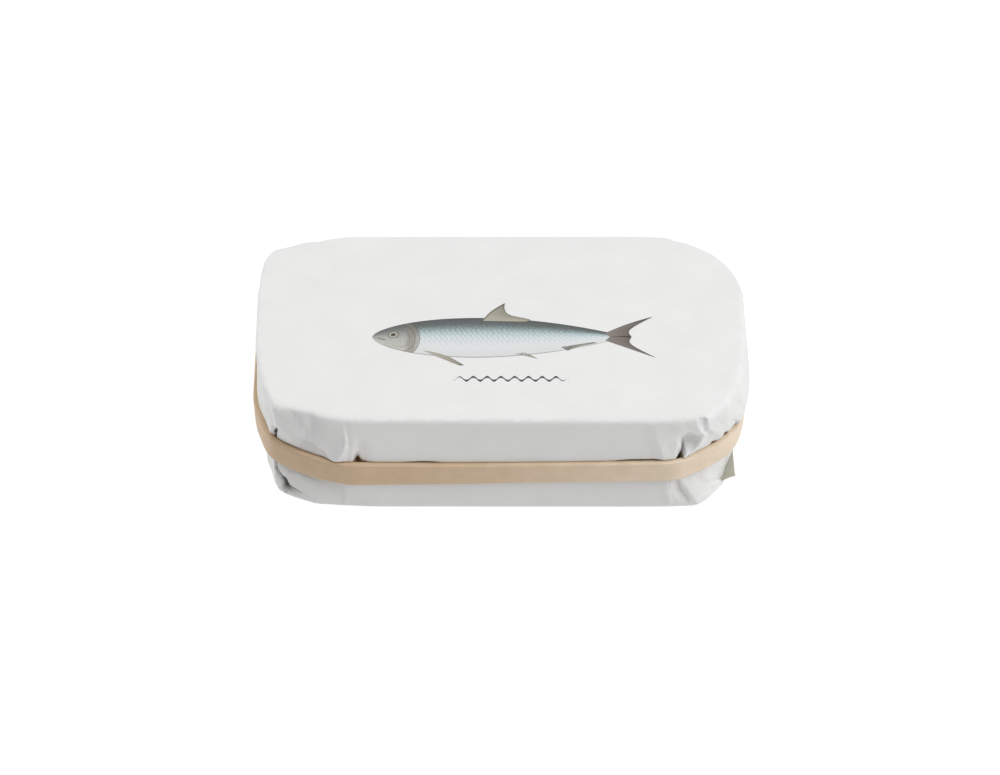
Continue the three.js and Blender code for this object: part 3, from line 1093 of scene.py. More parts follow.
# The folds of the front left corner, from the pinched edge round to the foot
FRONT_LEFT_FOLDS = (
    # The plane that leads up to the pinched edge, and the edge itself, which widens as it comes down
    Fold(
        ((-31.8, 24.4, 0.0), (-31.75, 22.6, 0.15), (-31.5, 20, 0.4), (-31.8, 17.6, 0.5), (-34, 13, 0.4)),
        (0.25, 0.25, 0.4, 0.8, 2.8),
        (5, 6, 7, 6, 3),
    ),
    Fold(
        ((-31.4, 20.5, 0.0), (-31.3, 19.2, 0.15), (-31.8, 17.6, 0.25), (-33, 15.2, 0.45), (-34.2, 13, 0.5)),
        (0.4, 0.5, 1.0, 2.1, 3.2),
        (0.5, 0.6, 1.0, 2.0, 2.5),
    ),
    Fold(((-37.4, 19.2, 0.0), (-35, 18.9, -0.3), (-32.4, 18.9, -0.35)), 1.4, 2.0),
    # The pit beside it, in a soft hollow
    Fold(
        ((-29.5, 15.6, -0.2), (-29.4, 14.2, -0.9), (-29.4, 12, -2.0)),
        (0.8, 1.0, 1.2),
        (0.8, 1.0, 1.2),
        FoldForm.SOFT,
    ),
    Fold(((-28.6, 19.5, -0.1), (-28.9, 16, -0.5), (-29, 13, -0.6)), (1.5, 3.0, 3.0), 1.6, FoldForm.SOFT),
    # The slanting edge of the corner: the plane left of it faces left
    Fold(
        ((-48.2, 24.5, 0.1), (-46.8, 22.4, 0.7), (-45.6, 20.0, 1.1), (-44.9, 18.4, 1.1)),
        (1.5, 3.0, 3.8, 4.0),
        (2.0, 3.4, 4.4, 4.6),
    ),
    # The tucked flap: its rim catches the light and the part below it lies deeper
    Fold(
        (
            (-34.6, 13.4, 0.15),
            (-35.6, 15.0, 0.2),
            (-38, 16.8, 0.2),
            (-40, 17.5, 0.2),
            (-42, 17.9, 0.15),
            (-44.5, 18.2, 0.0),
        ),
        (1.2, 2.0, 3.0, 3.8, 4.2, 4.4),
        (0.8, 1.0, 1.2, 1.3, 1.6, 2.0),
    ),
    Fold(
        (
            (-48.3, 17.4, 0.3),
            (-45, 17.9, 0.3),
            (-42, 17.5, 0.3),
            (-40, 17.0, 0.35),
            (-38, 16.3, 0.35),
            (-36.4, 15.4, 0.3),
            (-35.0, 13.9, 0.15),
        ),
        2.6,
        0.3,
        FoldForm.LIFT,
    ),
    Fold(
        ((-50.2, 12.4, -3.8), (-50.0, 14.0, -3.8), (-49.6, 15.3, -3.2), (-49.2, 16.2, -1.4)),
        0.5,
        0.4,
    ),
    Fold(((-49.3, 15.8, -1.4), (-48.9, 16.8, -0.9), (-48.0, 17.8, -0.2)), 0.4, 0.35),
    Fold(((-50.6, 16.6, 0.2), (-52.0, 13.4, 0.4)), 0.8, 1.4),
    # Soft facets above it
    Fold(((-39.2, 24.6, -0.25), (-39.2, 18, -0.25)), 2.2, 2.2),
    Fold(((-41.1, 24.6, 0.2), (-41.1, 20.6, 0.15)), 1.6, 2.6),
    # The slit at the foot, the wedge of shade right of it and the light ridge left of it
    Fold(
        (
            (-50.7, 7.2, -0.7),
            (-50.3, 4.8, -1.1),
            (-49.3, 4.0, -1.2),
            (-48.3, 3.4, -1.4),
            (-47.5, 2.8, -1.4),
            (-46.9, 1.8, -0.7),
        ),
        (0.5, 0.6, 0.8, 1.2, 2.0, 2.2),
        (0.35, 0.35, 0.4, 0.4, 0.5, 0.5),
    ),
    Fold(
        (
            (-40.6, 1.8, -0.15),
            (-42.5, 2.25, -0.4),
            (-45, 2.9, -0.8),
            (-46.8, 3.5, -1.2),
            (-48.2, 3.8, -1.0),
        ),
        (0.4, 0.7, 1.2, 1.8, 1.2),
        0.3,
        FoldForm.LIFT,
    ),
    Fold(((-51.4, 6.4, 0.1), (-50.2, 3.6, 0.35), (-48.7, 2.0, 0.5), (-47.9, 1.2, 0.4)), 0.9, 1.4),
    Fold(((-39.2, 3.6, 0.15), (-36, 2.8, 0.15)), 0.8, 0.8),
    Fold(((-32.2, 6.4, 0.12), (-32.5, 1.6, 0.12)), 1.2, 0.5),
)

# The folds of the front right corner
FRONT_RIGHT_FOLDS = (
    # The light facet left of the corner
    Fold(((32.6, 23.4, 0.1), (33, 20, 0.25), (34.8, 15, 0.35)), 1.6, 2.4),
    # The dent: it falls to the left from the slanting edge on its right
    Fold(
        (
            (40.8, 21.2, 0.0),
            (40.2, 20.2, -0.6),
            (39.8, 18.8, -1.3),
            (39.6, 17.4, -1.6),
            (39.4, 16.2, -1.1),
            (39.2, 15.0, -0.2),
        ),
        (2.2, 3.0, 3.5, 3.3, 2.6, 1.5),
        (1.5, 2.4, 2.6, 1.8, 0.9, 0.4),
    ),
    # The flap that stands proud below it, and the paper that runs in under its upright edge
    Fold(
        ((38.9, 12.2, -2.4), (39.1, 14.0, -1.8), (39.3, 15.6, -1.2), (39.4, 17.4, -0.5)),
        (1.7, 1.9, 2.2, 2.0),
        0.25,
        FoldForm.LIFT,
        0.2,
    ),
    Fold(
        ((39.4, 17.4, 0.1), (39.3, 15.6, 0.5), (39.1, 14.0, 0.6), (38.9, 12.4, 0.6)),
        2.5,
        0.25,
        FoldForm.LIFT,
        0.2,
    ),
    Fold(((37.4, 21.8, 0.1), (40.2, 21.6, 0.25), (42.4, 20.7, 0.3)), 1.6, 0.8),
    Fold(((43.2, 19.4, 0.3), (42.4, 16.6, 0.35), (40.8, 14.2, 0.3)), 1.8, 0.5),
    # The crumpled top of the corner: ridge, valley, ridge
    Fold(
        ((41.1, 24.4, 0.1), (41.4, 22.8, 0.5), (42.3, 20.6, 0.6), (44.0, 18.4, 0.3)),
        (0.5, 0.6, 0.6, 0.6),
        (2.0, 2.0, 1.6, 1.2),
    ),
    Fold(
        (
            (42.4, 24.7, 0.0),
            (42.7, 23.6, -0.35),
            (43.2, 21.8, -0.45),
            (43.7, 20.2, -0.35),
            (45.0, 18.2, -0.1),
        ),
        0.7,
        0.6,
    ),
    Fold(
        ((43.2, 25.2, 0.5), (43.6, 22.6, 0.5), (44.4, 20.5, 0.45), (46.6, 18, 0.4), (48.5, 16.4, 0.3)),
        (2.2, 2.4, 2.4, 2.2, 1.6),
        (0.4, 0.45, 0.5, 0.9, 1.5),
    ),
    Fold(((42.2, 24.8, 0.3), (43.6, 24.6, 0.35)), 0.5, 0.6, FoldForm.SOFT),
    # The bulge over the band on the right, and the flap's free edge where it begins
    Fold(
        ((55, 15.4, 0.3), (57.5, 16, 0.95), (66, 16.4, 0.9), (74, 17, 0.9), (88, 17, 0.5), (96, 17, 0)),
        (3, 7, 8, 8, 8, 8),
        (1.6, 2.4, 2.6, 2.6, 2.6, 2.6),
        FoldForm.SOFT,
    ),
    Fold(
        ((52.4, 17.8, 0.1), (54.2, 16.4, 0.5), (55.2, 15.2, 0.8), (55.5, 13.2, 1.0)),
        3.0,
        1.0,
        FoldForm.LIFT,
    ),
    # Small gaps along the top of the band
    Fold(((46.9, 14.4, -0.3), (47.8, 13.2, -0.8)), 0.9, 0.9, FoldForm.SOFT),
    Fold(((50.6, 15.2, -0.3), (51.8, 13.4, -1.1)), 1.0, 1.1, FoldForm.SOFT),
    Fold(((54.7, 15.4, -0.7), (55.0, 13.2, -1.4)), 0.6, 0.7),
    Fold(((50.2, 17.6, 0.2), (53.4, 16.2, 0.2)), 0.8, 1.4),
    # The slanting foot crease and the bright facet right of it
    Fold(((37.9, 8.4, -0.35), (38.6, 5, -0.8), (40.0, 2.6, -0.6)), (0.5, 0.6, 0.7), (1.3, 1.6, 1.8)),
    Fold(((38.9, 7.6, 0.25), (40.2, 5, 0.55), (41.4, 2.4, 0.4)), (1.6, 3.0, 3.0), (0.6, 0.7, 0.8)),
    Fold(((35.6, 7, 0.1), (36.0, 4.6, 0.25), (36.6, 2, 0.2)), 1.0, 1.6),
    Fold(((45.6, 4.2, -0.2), (48, 3.2, -0.3), (50.6, 2.2, -0.3)), 0.5, 0.7),
    Fold(((44.6, 6.4, 0.15), (47.4, 2.6, 0.25)), 1.6, 1.2),
)

# The softer pleats of the back corners
BACK_FOLDS = (
    Fold(((112, 24, -0.5), (110.5, 14.5, -0.6)), 2.2, 1.6),
    Fold(((104, 24, 0.5), (106, 14.5, 0.6)), 1.6, 2.4),
    Fold(((98.5, 24, 0.3), (99.5, 14.5, 0.5)), 2.0, 2.0),
    Fold(((107, 7, -0.7), (104, 1.2, -0.7)), 2.2, 1.4),
    Fold(((117, 19, 0.3), (114, 14, 0.5)), 2.0, 2.0),
    Fold(((-112, 24, -0.7), (-109, 14.5, -0.8)), 1.8, 2.4),
    Fold(((-103, 24, 0.6), (-104, 14.5, 0.7)), 2.4, 1.6),
    Fold(((-98, 22.5, -0.6), (-97, 14.5, -0.6)), 1.6, 2.2),
    Fold(((-105, 7, -0.8), (-102, 1.2, -0.8)), 2.2, 1.4),
    Fold(((-118, 20, 0.3), (-115, 14, 0.5)), 2.0, 2.0),
)

# Painted shade deep in the folds: the third number of a place is the share of painted shade there
SHADES = (
    # The part under the tucked flap's rim
    Fold(
        (
            (-35.0, 13.9, 0.02),
            (-36.4, 15.4, 0.06),
            (-38, 16.3, 0.08),
            (-40, 17.0, 0.08),
            (-42, 17.5, 0.06),
            (-45, 17.9, 0.03),
            (-48.3, 17.4, 0.02),
        ),
        (1.5, 2.6, 3.6, 4.4, 5.0, 5.0, 4.6),
        0.3,
        FoldForm.LIFT,
    ),
    # The slot and the pit on the left
    Fold(
        ((-50.3, 12.4, 1.7), (-49.8, 15.0, 1.6), (-49.3, 16.2, 0.9), (-48.2, 17.6, 0.1)),
        0.8,
        0.7,
        FoldForm.SOFT,
    ),
    Fold(((-29.4, 12.4, 0.15), (-29.4, 14.2, 0.15), (-29.4, 16.0, 0.0)), 1.2, 1.2, FoldForm.SOFT),
    # The pit and the dent on the right
    Fold(
        ((38.8, 12.4, 0.7), (39.0, 14.2, 0.55), (39.2, 16, 0.3), (39.4, 18.6, 0)),
        (1.4, 1.6, 1.6, 1.2),
        0.2,
    ),
    Fold(
        ((40.2, 20.2, 0.05), (41.2, 18.8, 0.13), (41.2, 17.4, 0.12), (40.4, 16.0, 0.03)),
        2.2,
        2.8,
        FoldForm.SOFT,
    ),
    Fold(((49.0, 18.6, 0.0), (51.5, 16.9, 0.06), (54.4, 15.2, 0.1), (55.2, 14, 0.2)), 0.3, 1.8),
    # The slit and the wedge at the foot
    Fold(
        (
            (-50.7, 7.2, 0.3),
            (-50.3, 4.8, 0.45),
            (-49.3, 4.0, 0.4),
            (-48.3, 3.4, 0.45),
            (-47.3, 2.7, 0.6),
            (-46.9, 1.6, 0.45),
        ),
        (0.35, 0.4, 0.6, 1.1, 2.2, 2.2),
        0.3,
    ),
    Fold(
        ((-47.6, 3.2, 0.5), (-46.8, 2.5, 0.6), (-45.6, 2.2, 0.5), (-43.6, 1.9, 0.2), (-42.0, 1.7, 0.0)),
        1.1,
        0.9,
        FoldForm.SOFT,
    ),
    Fold(((-40.6, 1.9, 0.05), (-43, 2.3, 0.12), (-45.4, 2.9, 0.25)), (0.6, 0.8, 1.2), 0.25, FoldForm.LIFT),
    # The slanting foot crease on the right
    Fold(((38.0, 8, 0.08), (38.7, 5, 0.12), (40.0, 2.6, 0.06)), 0.4, 1.4),
)

# Places where the paper stands a little back from the band's upper edge
BAND_GAPS = (
    Fold(
        ((25, 13.2, -0.2), (28, 13.3, -0.6), (33, 13.4, -0.6), (34.6, 13.4, -0.2)),
        0.9,
        0.9,
        FoldForm.SOFT,
    ),
    Fold(((-18.5, 13.0, -0.2), (-15, 13.0, -0.5), (-12.6, 13.0, -0.2)), 0.8, 0.8, FoldForm.SOFT),
    Fold(((-108, 13.2, -0.6), (-102, 13.2, -0.8)), 0.9, 0.9, FoldForm.SOFT),
    Fold(((101, 13.6, -0.8), (106, 13.6, -0.6)), 0.9, 0.9, FoldForm.SOFT),
)


@dataclass(frozen=True)
class Crumple:
    """Faint straight-sided creases, as paper gets when it is pressed into a corner."""

    count: int = 9
    shortest: float = 2.6
    longest: float = 9.0
    most_bend: float = 0.6
    most_shift: float = 6.0
    depth: float = 0.05
    seed: int = 7

    def offsets(self, stations: Field, heights: Field) -> Field:
        """Add up zigzags in random directions.

        Args:
            stations: places along the walls.
            heights: their heights.

        Returns:
            How far the crumple moves the paper at each place.
        """
        draw = np.random.default_rng(self.seed)
        total = np.zeros(np.broadcast(stations, heights).shape)
        for _ in range(self.count):
            angle = draw.uniform(0, math.pi)
            pitch = draw.uniform(self.shortest, self.longest)
            bend = draw.uniform(-self.most_bend, self.most_bend)
            along = stations * math.cos(angle) + heights * math.sin(angle)
            along = along + bend * np.sin(stations / pitch + draw.uniform(0, self.most_shift))
            phase = (along / pitch + draw.uniform(0, 1)) % 1.0
            total += (np.abs(phase - 0.5) * 4 - 1) * pitch / self.longest
        return total * self.depth


@dataclass
class PaperWrap:
    """The sheet of paper round the tin, with its pleats and creases.

    Its rounded edges have rows at the angles given as turns, and its flat faces rings of vertices
    that are drawn inwards by the distances given as rings.
    """

    top_round: float = 1.1
    foot_round: float = 0.9
    top_turns: tuple[float, ...] = (0, 18, 36, 54, 72, 90)
    foot_turns: tuple[float, ...] = (0, 22, 45, 67)
    row_step: float = 0.25
    last_gap: float = 0.1
    fine_station: float = 0.2
    plain_station: float = 1.0
    creased_from: float = 27.0
    creased_to: float = 60.0
    top_rings: tuple[float, ...] = (
        0.3, 0.6, 1, 1.5, 2.1, 2.8, 3.6, 4.6, 5.8, 7.2, 8.8, 10.4, 12, 13.6, 15.2, 16.8, 18.4, 20,
        21.6, 23.2, 24.8, 26.4, 28, 29.4,
    )
    foot_rings: tuple[float, ...] = (0.4, 0.7, 6, 13, 20, 27)
    spine_share: float = 0.42
    crown: float = 0.12
    cockle: float = 0.03
    recess: float = 0.3
    top_line: float = 23.0
    foot_line: float = 1.8
    swell_above: float = 0.3
    swell_below: float = 0.25
    swell_start: float = 0.4
    fade_above: float = 8.0
    fade_below: float = 5.0
    pressed_reach: float = 0.35
    folds: tuple[Fold, ...] = FRONT_LEFT_FOLDS + FRONT_RIGHT_FOLDS + BACK_FOLDS + BAND_GAPS
    crumple: Crumple = Crumple()
    shoulder: Shoulder = Shoulder()
    crumpled_reach: float = 22.0
    crumpled_fade: float = 12.0
    worn_above: float = 0.3
    worn_fade: float = 0.8
    # How far from the band's edges the painted band reflection reaches
    band_reflection_reach: float = 0.5
    # The painted shade in the folds, and its darkest share
    shades: tuple[Fold, ...] = SHADES
    deepest_shade: float = 0.9

    def stations(self) -> Field:
        """Choose the stations of the mesh's columns, close together on the creased front corners.

        Returns:
            The stations, from the middle of the back round to it again.
        """
        half = BOX.half_round
        plain = [(-half, -self.creased_to), (-self.creased_from, self.creased_from), (self.creased_to, half)]
        fine = [(-self.creased_to, -self.creased_from), (self.creased_from, self.creased_to)]
        spans = [(*span, self.plain_station) for span in plain]
        spans += [(*span, self.fine_station) for span in fine]
        rows = [
            np.linspace(low, high, round((high - low) / step), endpoint=False)
            for low, high, step in sorted(spans)
        ]
        return np.concatenate(rows)

    def crumpled(self, stations: Field) -> Field:
        """Work out how crumpled the paper is along the walls.

        Args:
            stations: places along the walls.

        Returns:
            1 at a corner and 0 far from one.
        """
        middle = BOX.front_run + BOX.corner_run / 2
        back = BOX.half_round - middle
        near = np.minimum(np.abs(np.abs(stations) - middle), np.abs(np.abs(stations) - back))
        return smooth((self.crumpled_reach - near) / self.crumpled_fade)

    def offsets(self, stations: Field, heights: Field) -> Field:
        """Work out how far the paper stands out.

        Args:
            stations: a grid of places along the walls.
            heights: the grid of their heights.

        Returns:
            The offset at each place of the grid.
        """
        x, _, _, _ = BOX.wall(stations)
        low, high = BAND.edges(x)
        band = BAND_OUTLINE.offsets(stations) + BAND.gap
        top, foot = TOP_OUTLINE.offsets(stations), FOOT_OUTLINE.offsets(stations)
        above, below = heights - high, low - heights
        up = np.clip(above / (self.top_line - high), 0, 1)
        down = np.clip(below / (low - self.foot_line), 0, 1)
        swell = self.swell_above * self._swell(above, self.fade_above)
        swell = swell + self.swell_below * self._swell(below, self.fade_below)
        pressed = smooth(np.maximum(above, below) / self.pressed_reach)
        loose = sum(fold.offsets(stations, heights) for fold in self.folds)
        loose = loose + self.crumple.offsets(stations, heights) * self.crumpled(stations)
        loose = np.where(loose > 0, loose * pressed, loose) + self.shoulder.offsets(stations, heights)
        return band + up * (top - band) + down * (foot - band) + swell + loose

    def _swell(self, distance: Field, fade: float) -> Field:
        """Let the paper come out from behind the band and fade back to its outline."""
        held = np.maximum(distance, 0.0)
        return (1 - np.exp(-held / self.swell_start)) * (1 - smooth(held / fade))

    def top_height(self, x: Field, y: Field) -> Field:
        """Work out the height of the paper's top: a slight crown with a faint cockle.

        Args:
            x: places across the pack.
            y: the same places from front to back.

        Returns:
            The height at each place.
        """
        across = 1 - np.clip(2 * np.abs(x) / BOX.length, 0, 1) ** 4
        along = 1 - np.clip(2 * np.abs(y) / BOX.width, 0, 1) ** 4
        waves = np.sin(x / 9.0 + 0.7 * np.sin(y / 7.0)) * np.sin(y / 8.0 + 1.1 + 0.5 * np.sin(x / 11.0))
        return BOX.height + across * along * (self.crown + self.cockle * waves)

    def wall_rows(self) -> tuple[Field, Field]:
        """Choose the rows up the wall.

        Returns:
            Each row's height, and how far it is drawn in by a rounded edge.
        """
        foot = math.pi / 2 - np.radians(self.foot_turns)
        top = np.radians(self.top_turns)
        plain = np.arange(self.foot_round, BOX.height - self.top_round - self.last_gap, self.row_step)
        heights = [
            self.foot_round * (1 - np.sin(foot)),
            plain,
            BOX.height - self.top_round * (1 - np.sin(top)),
        ]
        drawn = [
            self.foot_round * (1 - np.cos(foot)),
            np.zeros(len(plain)),
            self.top_round * (1 - np.cos(top)),
        ]
        return np.concatenate(heights), np.concatenate(drawn)

    def grid(self, stations: Field) -> Field:
        """Work out where every vertex of the sheet goes.

        Args:
            stations: the stations of the mesh's columns.

        Returns:
            Places by row and column: the underside from its middle, the walls, then the top.
        """
        x, y, out_x, out_y = BOX.wall(stations)
        heights, drawn = self.wall_rows()
        high = heights[:, None] * np.ones_like(stations)
        out = self.offsets(np.ones_like(high) * stations, high) - drawn[:, None]
        walls = np.stack([x + out * out_x, y + out * out_y, high], axis=-1)
        top = [self._ring(walls[-1], inward) for inward in self.top_rings]
        for ring in top:
            ring[:, 2] = self.top_height(ring[:, 0], ring[:, 1])
        foot = [self._ring(walls[0], inward) for inward in self.foot_rings]
        for inward, ring in zip(self.foot_rings, foot):
            ring[:, 2] = self.recess if inward > self.foot_rings[0] else 0.0
        return np.concatenate([foot[::-1], walls, top])

    def _ring(self, edge: Field, inward: float) -> Field:
        """Draw an edge inwards, towards the middle line of the pack.

        Args:
            edge: the places along the edge.
            inward: how far its front and back come in.

        Returns:
            The places along the new ring.
        """
        share = inward / (BOX.width / 2)
        ring = edge.copy()
        ring[:, 0] *= 1 - share * (1 - self.spine_share)
        ring[:, 1] *= 1 - share
        return ring

    def build_sheet(self) -> bpy.types.Object:
        """Model the sheet: a tube raised row by row, both ends filled, pressed onto the tin.

        Returns:
            The sheet, painted with what its material reads.
        """
        stations = self.stations()
        grid = self.grid(stations)
        rows, columns = grid.shape[:2]
        sheet = raised_tube("paper_sheet", columns, rows)
        column, row = tube_columns(sheet, columns)
        places = grid[row, column]
        place_vertices(sheet, places)
        for end in (0, rows - 1):
            select_vertices(sheet, row == end)
            bpy.ops.mesh.select_mode(type="EDGE")
            bpy.ops.mesh.edge_face_add()
            bpy.ops.mesh.quads_convert_to_tris(ngon_method="BEAUTY")
            bpy.ops.object.mode_set(mode="OBJECT")
        self._paint_creases_and_shade(sheet, stations[column], places[:, 2])
        finish_piece(sheet, SHARP_PAPER)
        return sheet

    def _paint_creases_and_shade(self, sheet: bpy.types.Object, stations: Field, heights: Field) -> None:
        """Paint where the sheet is crumpled, and where it takes painted band reflection and painted shade.

        Args:
            sheet: the sheet, in object mode.
            stations: each vertex's station.
            heights: each vertex's height.
        """
        low, high = BAND.edges(BOX.wall(stations)[0])
        off_band = np.maximum(heights - high, low - heights)
        on_walls = smooth((BOX.height + self.worn_above - heights) / self.worn_fade)
        # Painted shade, deep in the folds
        dimmed = sum(shade.offsets(stations, heights) for shade in self.shades)
        painted = {
            "crumpled": self.crumpled(stations) * on_walls,
            # Painted reflection and shade of the band, along its edges
            "near_band": smooth(1 - off_band / self.band_reflection_reach),
            "dimmed": np.clip(dimmed, 0, self.deepest_shade),
        }
        for name, values in painted.items():
            layer = sheet.data.attributes.new(name, "FLOAT", "POINT")
            layer.data.foreach_set("value", values.astype(np.float32))

    def build(self) -> list[bpy.types.Object]:
        """Build the sheet, dress it and put it in place of the plain solid.

        Returns:
            The sheet alone.
        """
        sheet = self.build_sheet()
        sheet.data.materials.append(WHITE_PAPER.material())
        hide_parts("paper_wrap")
        return [sheet]


@dataclass
class PaperEar:
    """The corner of paper that sticks out at the lower right: a thin three-sided flap.

    Its corners are a station, a height and how far out each stands from the plain box.
    """

    root_top: Place = (54.9, 6.9, -0.9)
    root_foot: Place = (49.6, 1.5, -0.6)
    tip: Place = (51.3, 4.0, 2.2)
    curl: float = 0.25
    thickness: float = 0.16
    faces_along: int = 14
    faces_across: int = 10
    merge_within: float = 0.01

    def build(self) -> list[bpy.types.Object]:
        """Model the ear from a grid that narrows to its tip, and dress it.

        Returns:
            The ear alone.
        """
        ear, along, across = flat_grid("paper_ear", self.faces_along, self.faces_across)
        top, foot, tip = (self._at(*corner) for corner in (self.root_top, self.root_foot, self.tip))
        root = top + across[:, None] * (foot - top)
        places = root + along[:, None] * (tip - root)
        places[:, 1] -= self.curl * np.sin(along * math.pi / 2) * np.sin(across * math.pi)
        place_vertices(ear, places)
        apply_modifier(ear, "SOLIDIFY", thickness=self.thickness * MM, offset=0.0)
        merge_vertices(self.merge_within)
        finish_piece(ear, SHARP_PAPER)
        ear.data.materials.append(SHADED_PAPER.material())
        return [ear]

    @staticmethod
    def _at(station: float, height: float, out: float) -> Field:
        """Find a place that stands out from the plain box, as X, Y and Z."""
        x, y, out_x, out_y = (values[0] for values in BOX.wall(np.array([station])))
        return np.array([x + out * out_x, y + out * out_y, height])


@dataclass
class UndersideFlaps:
    """The folded ends of the sheet under the pack: a flap from each end, and a long one over them."""

    end_outer: float = 49.2
    end_inner: float = 21.0
    end_half: float = 19.5
    end_half_inner: float = 8.0
    end_level: float = 0.24
    long_outer: float = 29.2
    long_inner: float = -5.0
    long_half: float = 33.0
    long_half_inner: float = 43.0
    long_widening: float = 1.6
    long_level: float = 0.12
    thickness: float = 0.1
    faces_along: int = 24
    faces_across: int = 16

    def _end_flap(self, name: str, side: float) -> bpy.types.Object:
        """Model the flap from one end, which narrows to the middle.

        Args:
            name: the piece's name.
            side: -1 for the left end, 1 for the right end.

        Returns:
            The flap.
        """
        flap, along, across = flat_grid(name, self.faces_along, self.faces_across)
        half = self.end_half + along * (self.end_half_inner - self.end_half)
        y = (2 * across - 1) * half
        rounded = np.clip(np.abs(y) - BOX.side_run, 0, None) ** 2 / (2 * BOX.corner_radius)
        outer = self.end_outer - rounded
        self._finish(flap, side * (outer - along * (outer - self.end_inner)), y, self.end_level)
        return flap

    def _long_flap(self) -> bpy.types.Object:
        """Model the long flap from the back, which widens over the other two.

        Returns:
            The flap.
        """
        flap, along, across = flat_grid("flap_long", self.faces_along, self.faces_across)
        widening = smooth(self.long_widening * along)
        x = (2 * across - 1) * (self.long_half + widening * (self.long_half_inner - self.long_half))
        y = self.long_outer + along * (self.long_inner - self.long_outer)
        self._finish(flap, x, y, self.long_level)
        return flap

    def _finish(self, flap: bpy.types.Object, x: Field, y: Field, level: float) -> None:
        """Lay a flap at its level, thicken it and dress it.

        Args:
            flap: the flap's grid.
            x: where its vertices go across the pack.
            y: where they go from front to back.
            level: the height of the flap's middle.
        """
        place_vertices(flap, np.stack([x, y, np.full_like(x, level)], axis=-1))
        apply_modifier(flap, "SOLIDIFY", thickness=self.thickness * MM, offset=0.0)
        finish_piece(flap, SHARP_PAPER)
        flap.data.materials.append(WHITE_PAPER.material())

    def build(self) -> list[bpy.types.Object]:
        """Build the three flaps."""
        return [self._end_flap("flap_left", -1.0), self._end_flap("flap_right", 1.0), self._long_flap()]


@dataclass
class RubberBand:
    """The flat rubber band round the pack."""

    size: BandSize = BAND
    column_step: float = 0.5
    rows: int = 7
    waver: float = 0.06
    waver_pitch: float = 6.3
    waver_fade: float = 17.0
    waver_shift: float = 2.0
    edge_segments: int = 4

    def grid(self, stations: Field) -> Field:
        """Work out where the band's inner face goes.

        Args:
            stations: the stations of the mesh's columns.

        Returns:
            Places by row and column, from the lower edge to the upper one.
        """
        x, y, out_x, out_y = BOX.wall(stations)
        out = BAND_OUTLINE.offsets(stations) + self.size.gap
        low, high = self.size.edges(x)
        share = np.arange(self.rows)[:, None] / (self.rows - 1)
        ripple = np.sin(stations / self.waver_pitch) * np.sin(stations / self.waver_fade + self.waver_shift)
        z = low + share * (high - low) + self.waver * ripple
        return np.stack([*np.broadcast_arrays(x + out * out_x, y + out * out_y, z)], axis=-1)

    def build(self) -> list[bpy.types.Object]:
        """Model the band: a low tube pressed to the walls, thickened, with its edges rounded.

        Returns:
            The band alone.
        """
        columns = round(2 * BOX.half_round / self.column_step)
        stations = np.linspace(-BOX.half_round, BOX.half_round, columns, endpoint=False)
        band = raised_tube("band_loop", columns, self.rows)
        column, row = tube_columns(band, columns)
        places = self.grid(stations)[row, column]
        place_vertices(band, places)
        face = band.data.polygons[0]
        outward = 1.0 if face.normal.xy.dot(face.center.xy) > 0 else -1.0
        apply_modifier(band, "SOLIDIFY", thickness=self.size.thickness * MM, offset=outward)
        moved = np.linalg.norm(places_of(band) - np.tile(places, (2, 1)), axis=1)
        rim = np.tile((row == 0) | (row == self.rows - 1), 2)
        select_vertices(band, (moved > self.size.thickness / 2) & rim)
        bpy.ops.mesh.select_mode(type="EDGE")
        rounding = self.size.edge_round * MM
        bpy.ops.mesh.bevel(offset=rounding, segments=self.edge_segments, affect="EDGES")
        finish_piece(band, SHARP_RUBBER)
        band.data.materials.append(TAN_RUBBER.material())
        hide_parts("rubber_band")
        return [band]


# The print on the top


@dataclass(frozen=True)
class Fin:
    """A fin's four corners on the paper, as X and Y, and how its edges bend."""

    root_front: Point
    root_back: Point
    tip_front: Point
    tip_back: Point
    hollow: float = 0.0
    bow: float = 0.0

    def places(self, out: Field, across: Field) -> tuple[Field, Field]:
        """Work out places on the fin.

        Args:
            out: shares from the root to the edge.
            across: shares from the front ray to the back ray.

        Returns:
            X and Y of each place.
        """
        corners = [np.array(c) for c in (self.root_front, self.root_back, self.tip_front, self.tip_back)]
        front_ray = corners[2] - corners[0]
        sideways = np.array([-front_ray[1], front_ray[0]]) / np.hypot(*front_ray)
        share, reach = across[:, None], out[:, None]
        root = corners[0] + share * (corners[1] - corners[0])
        tip = corners[2] + share * (corners[3] - corners[2])
        tip = tip + self.hollow * 4 * share * (1 - share) * (root - tip)
        place = root + reach * (tip - root)
        place = place + self.bow * np.sin(reach * math.pi) * (1 - share) * sideways
        return place[:, 0], place[:, 1]


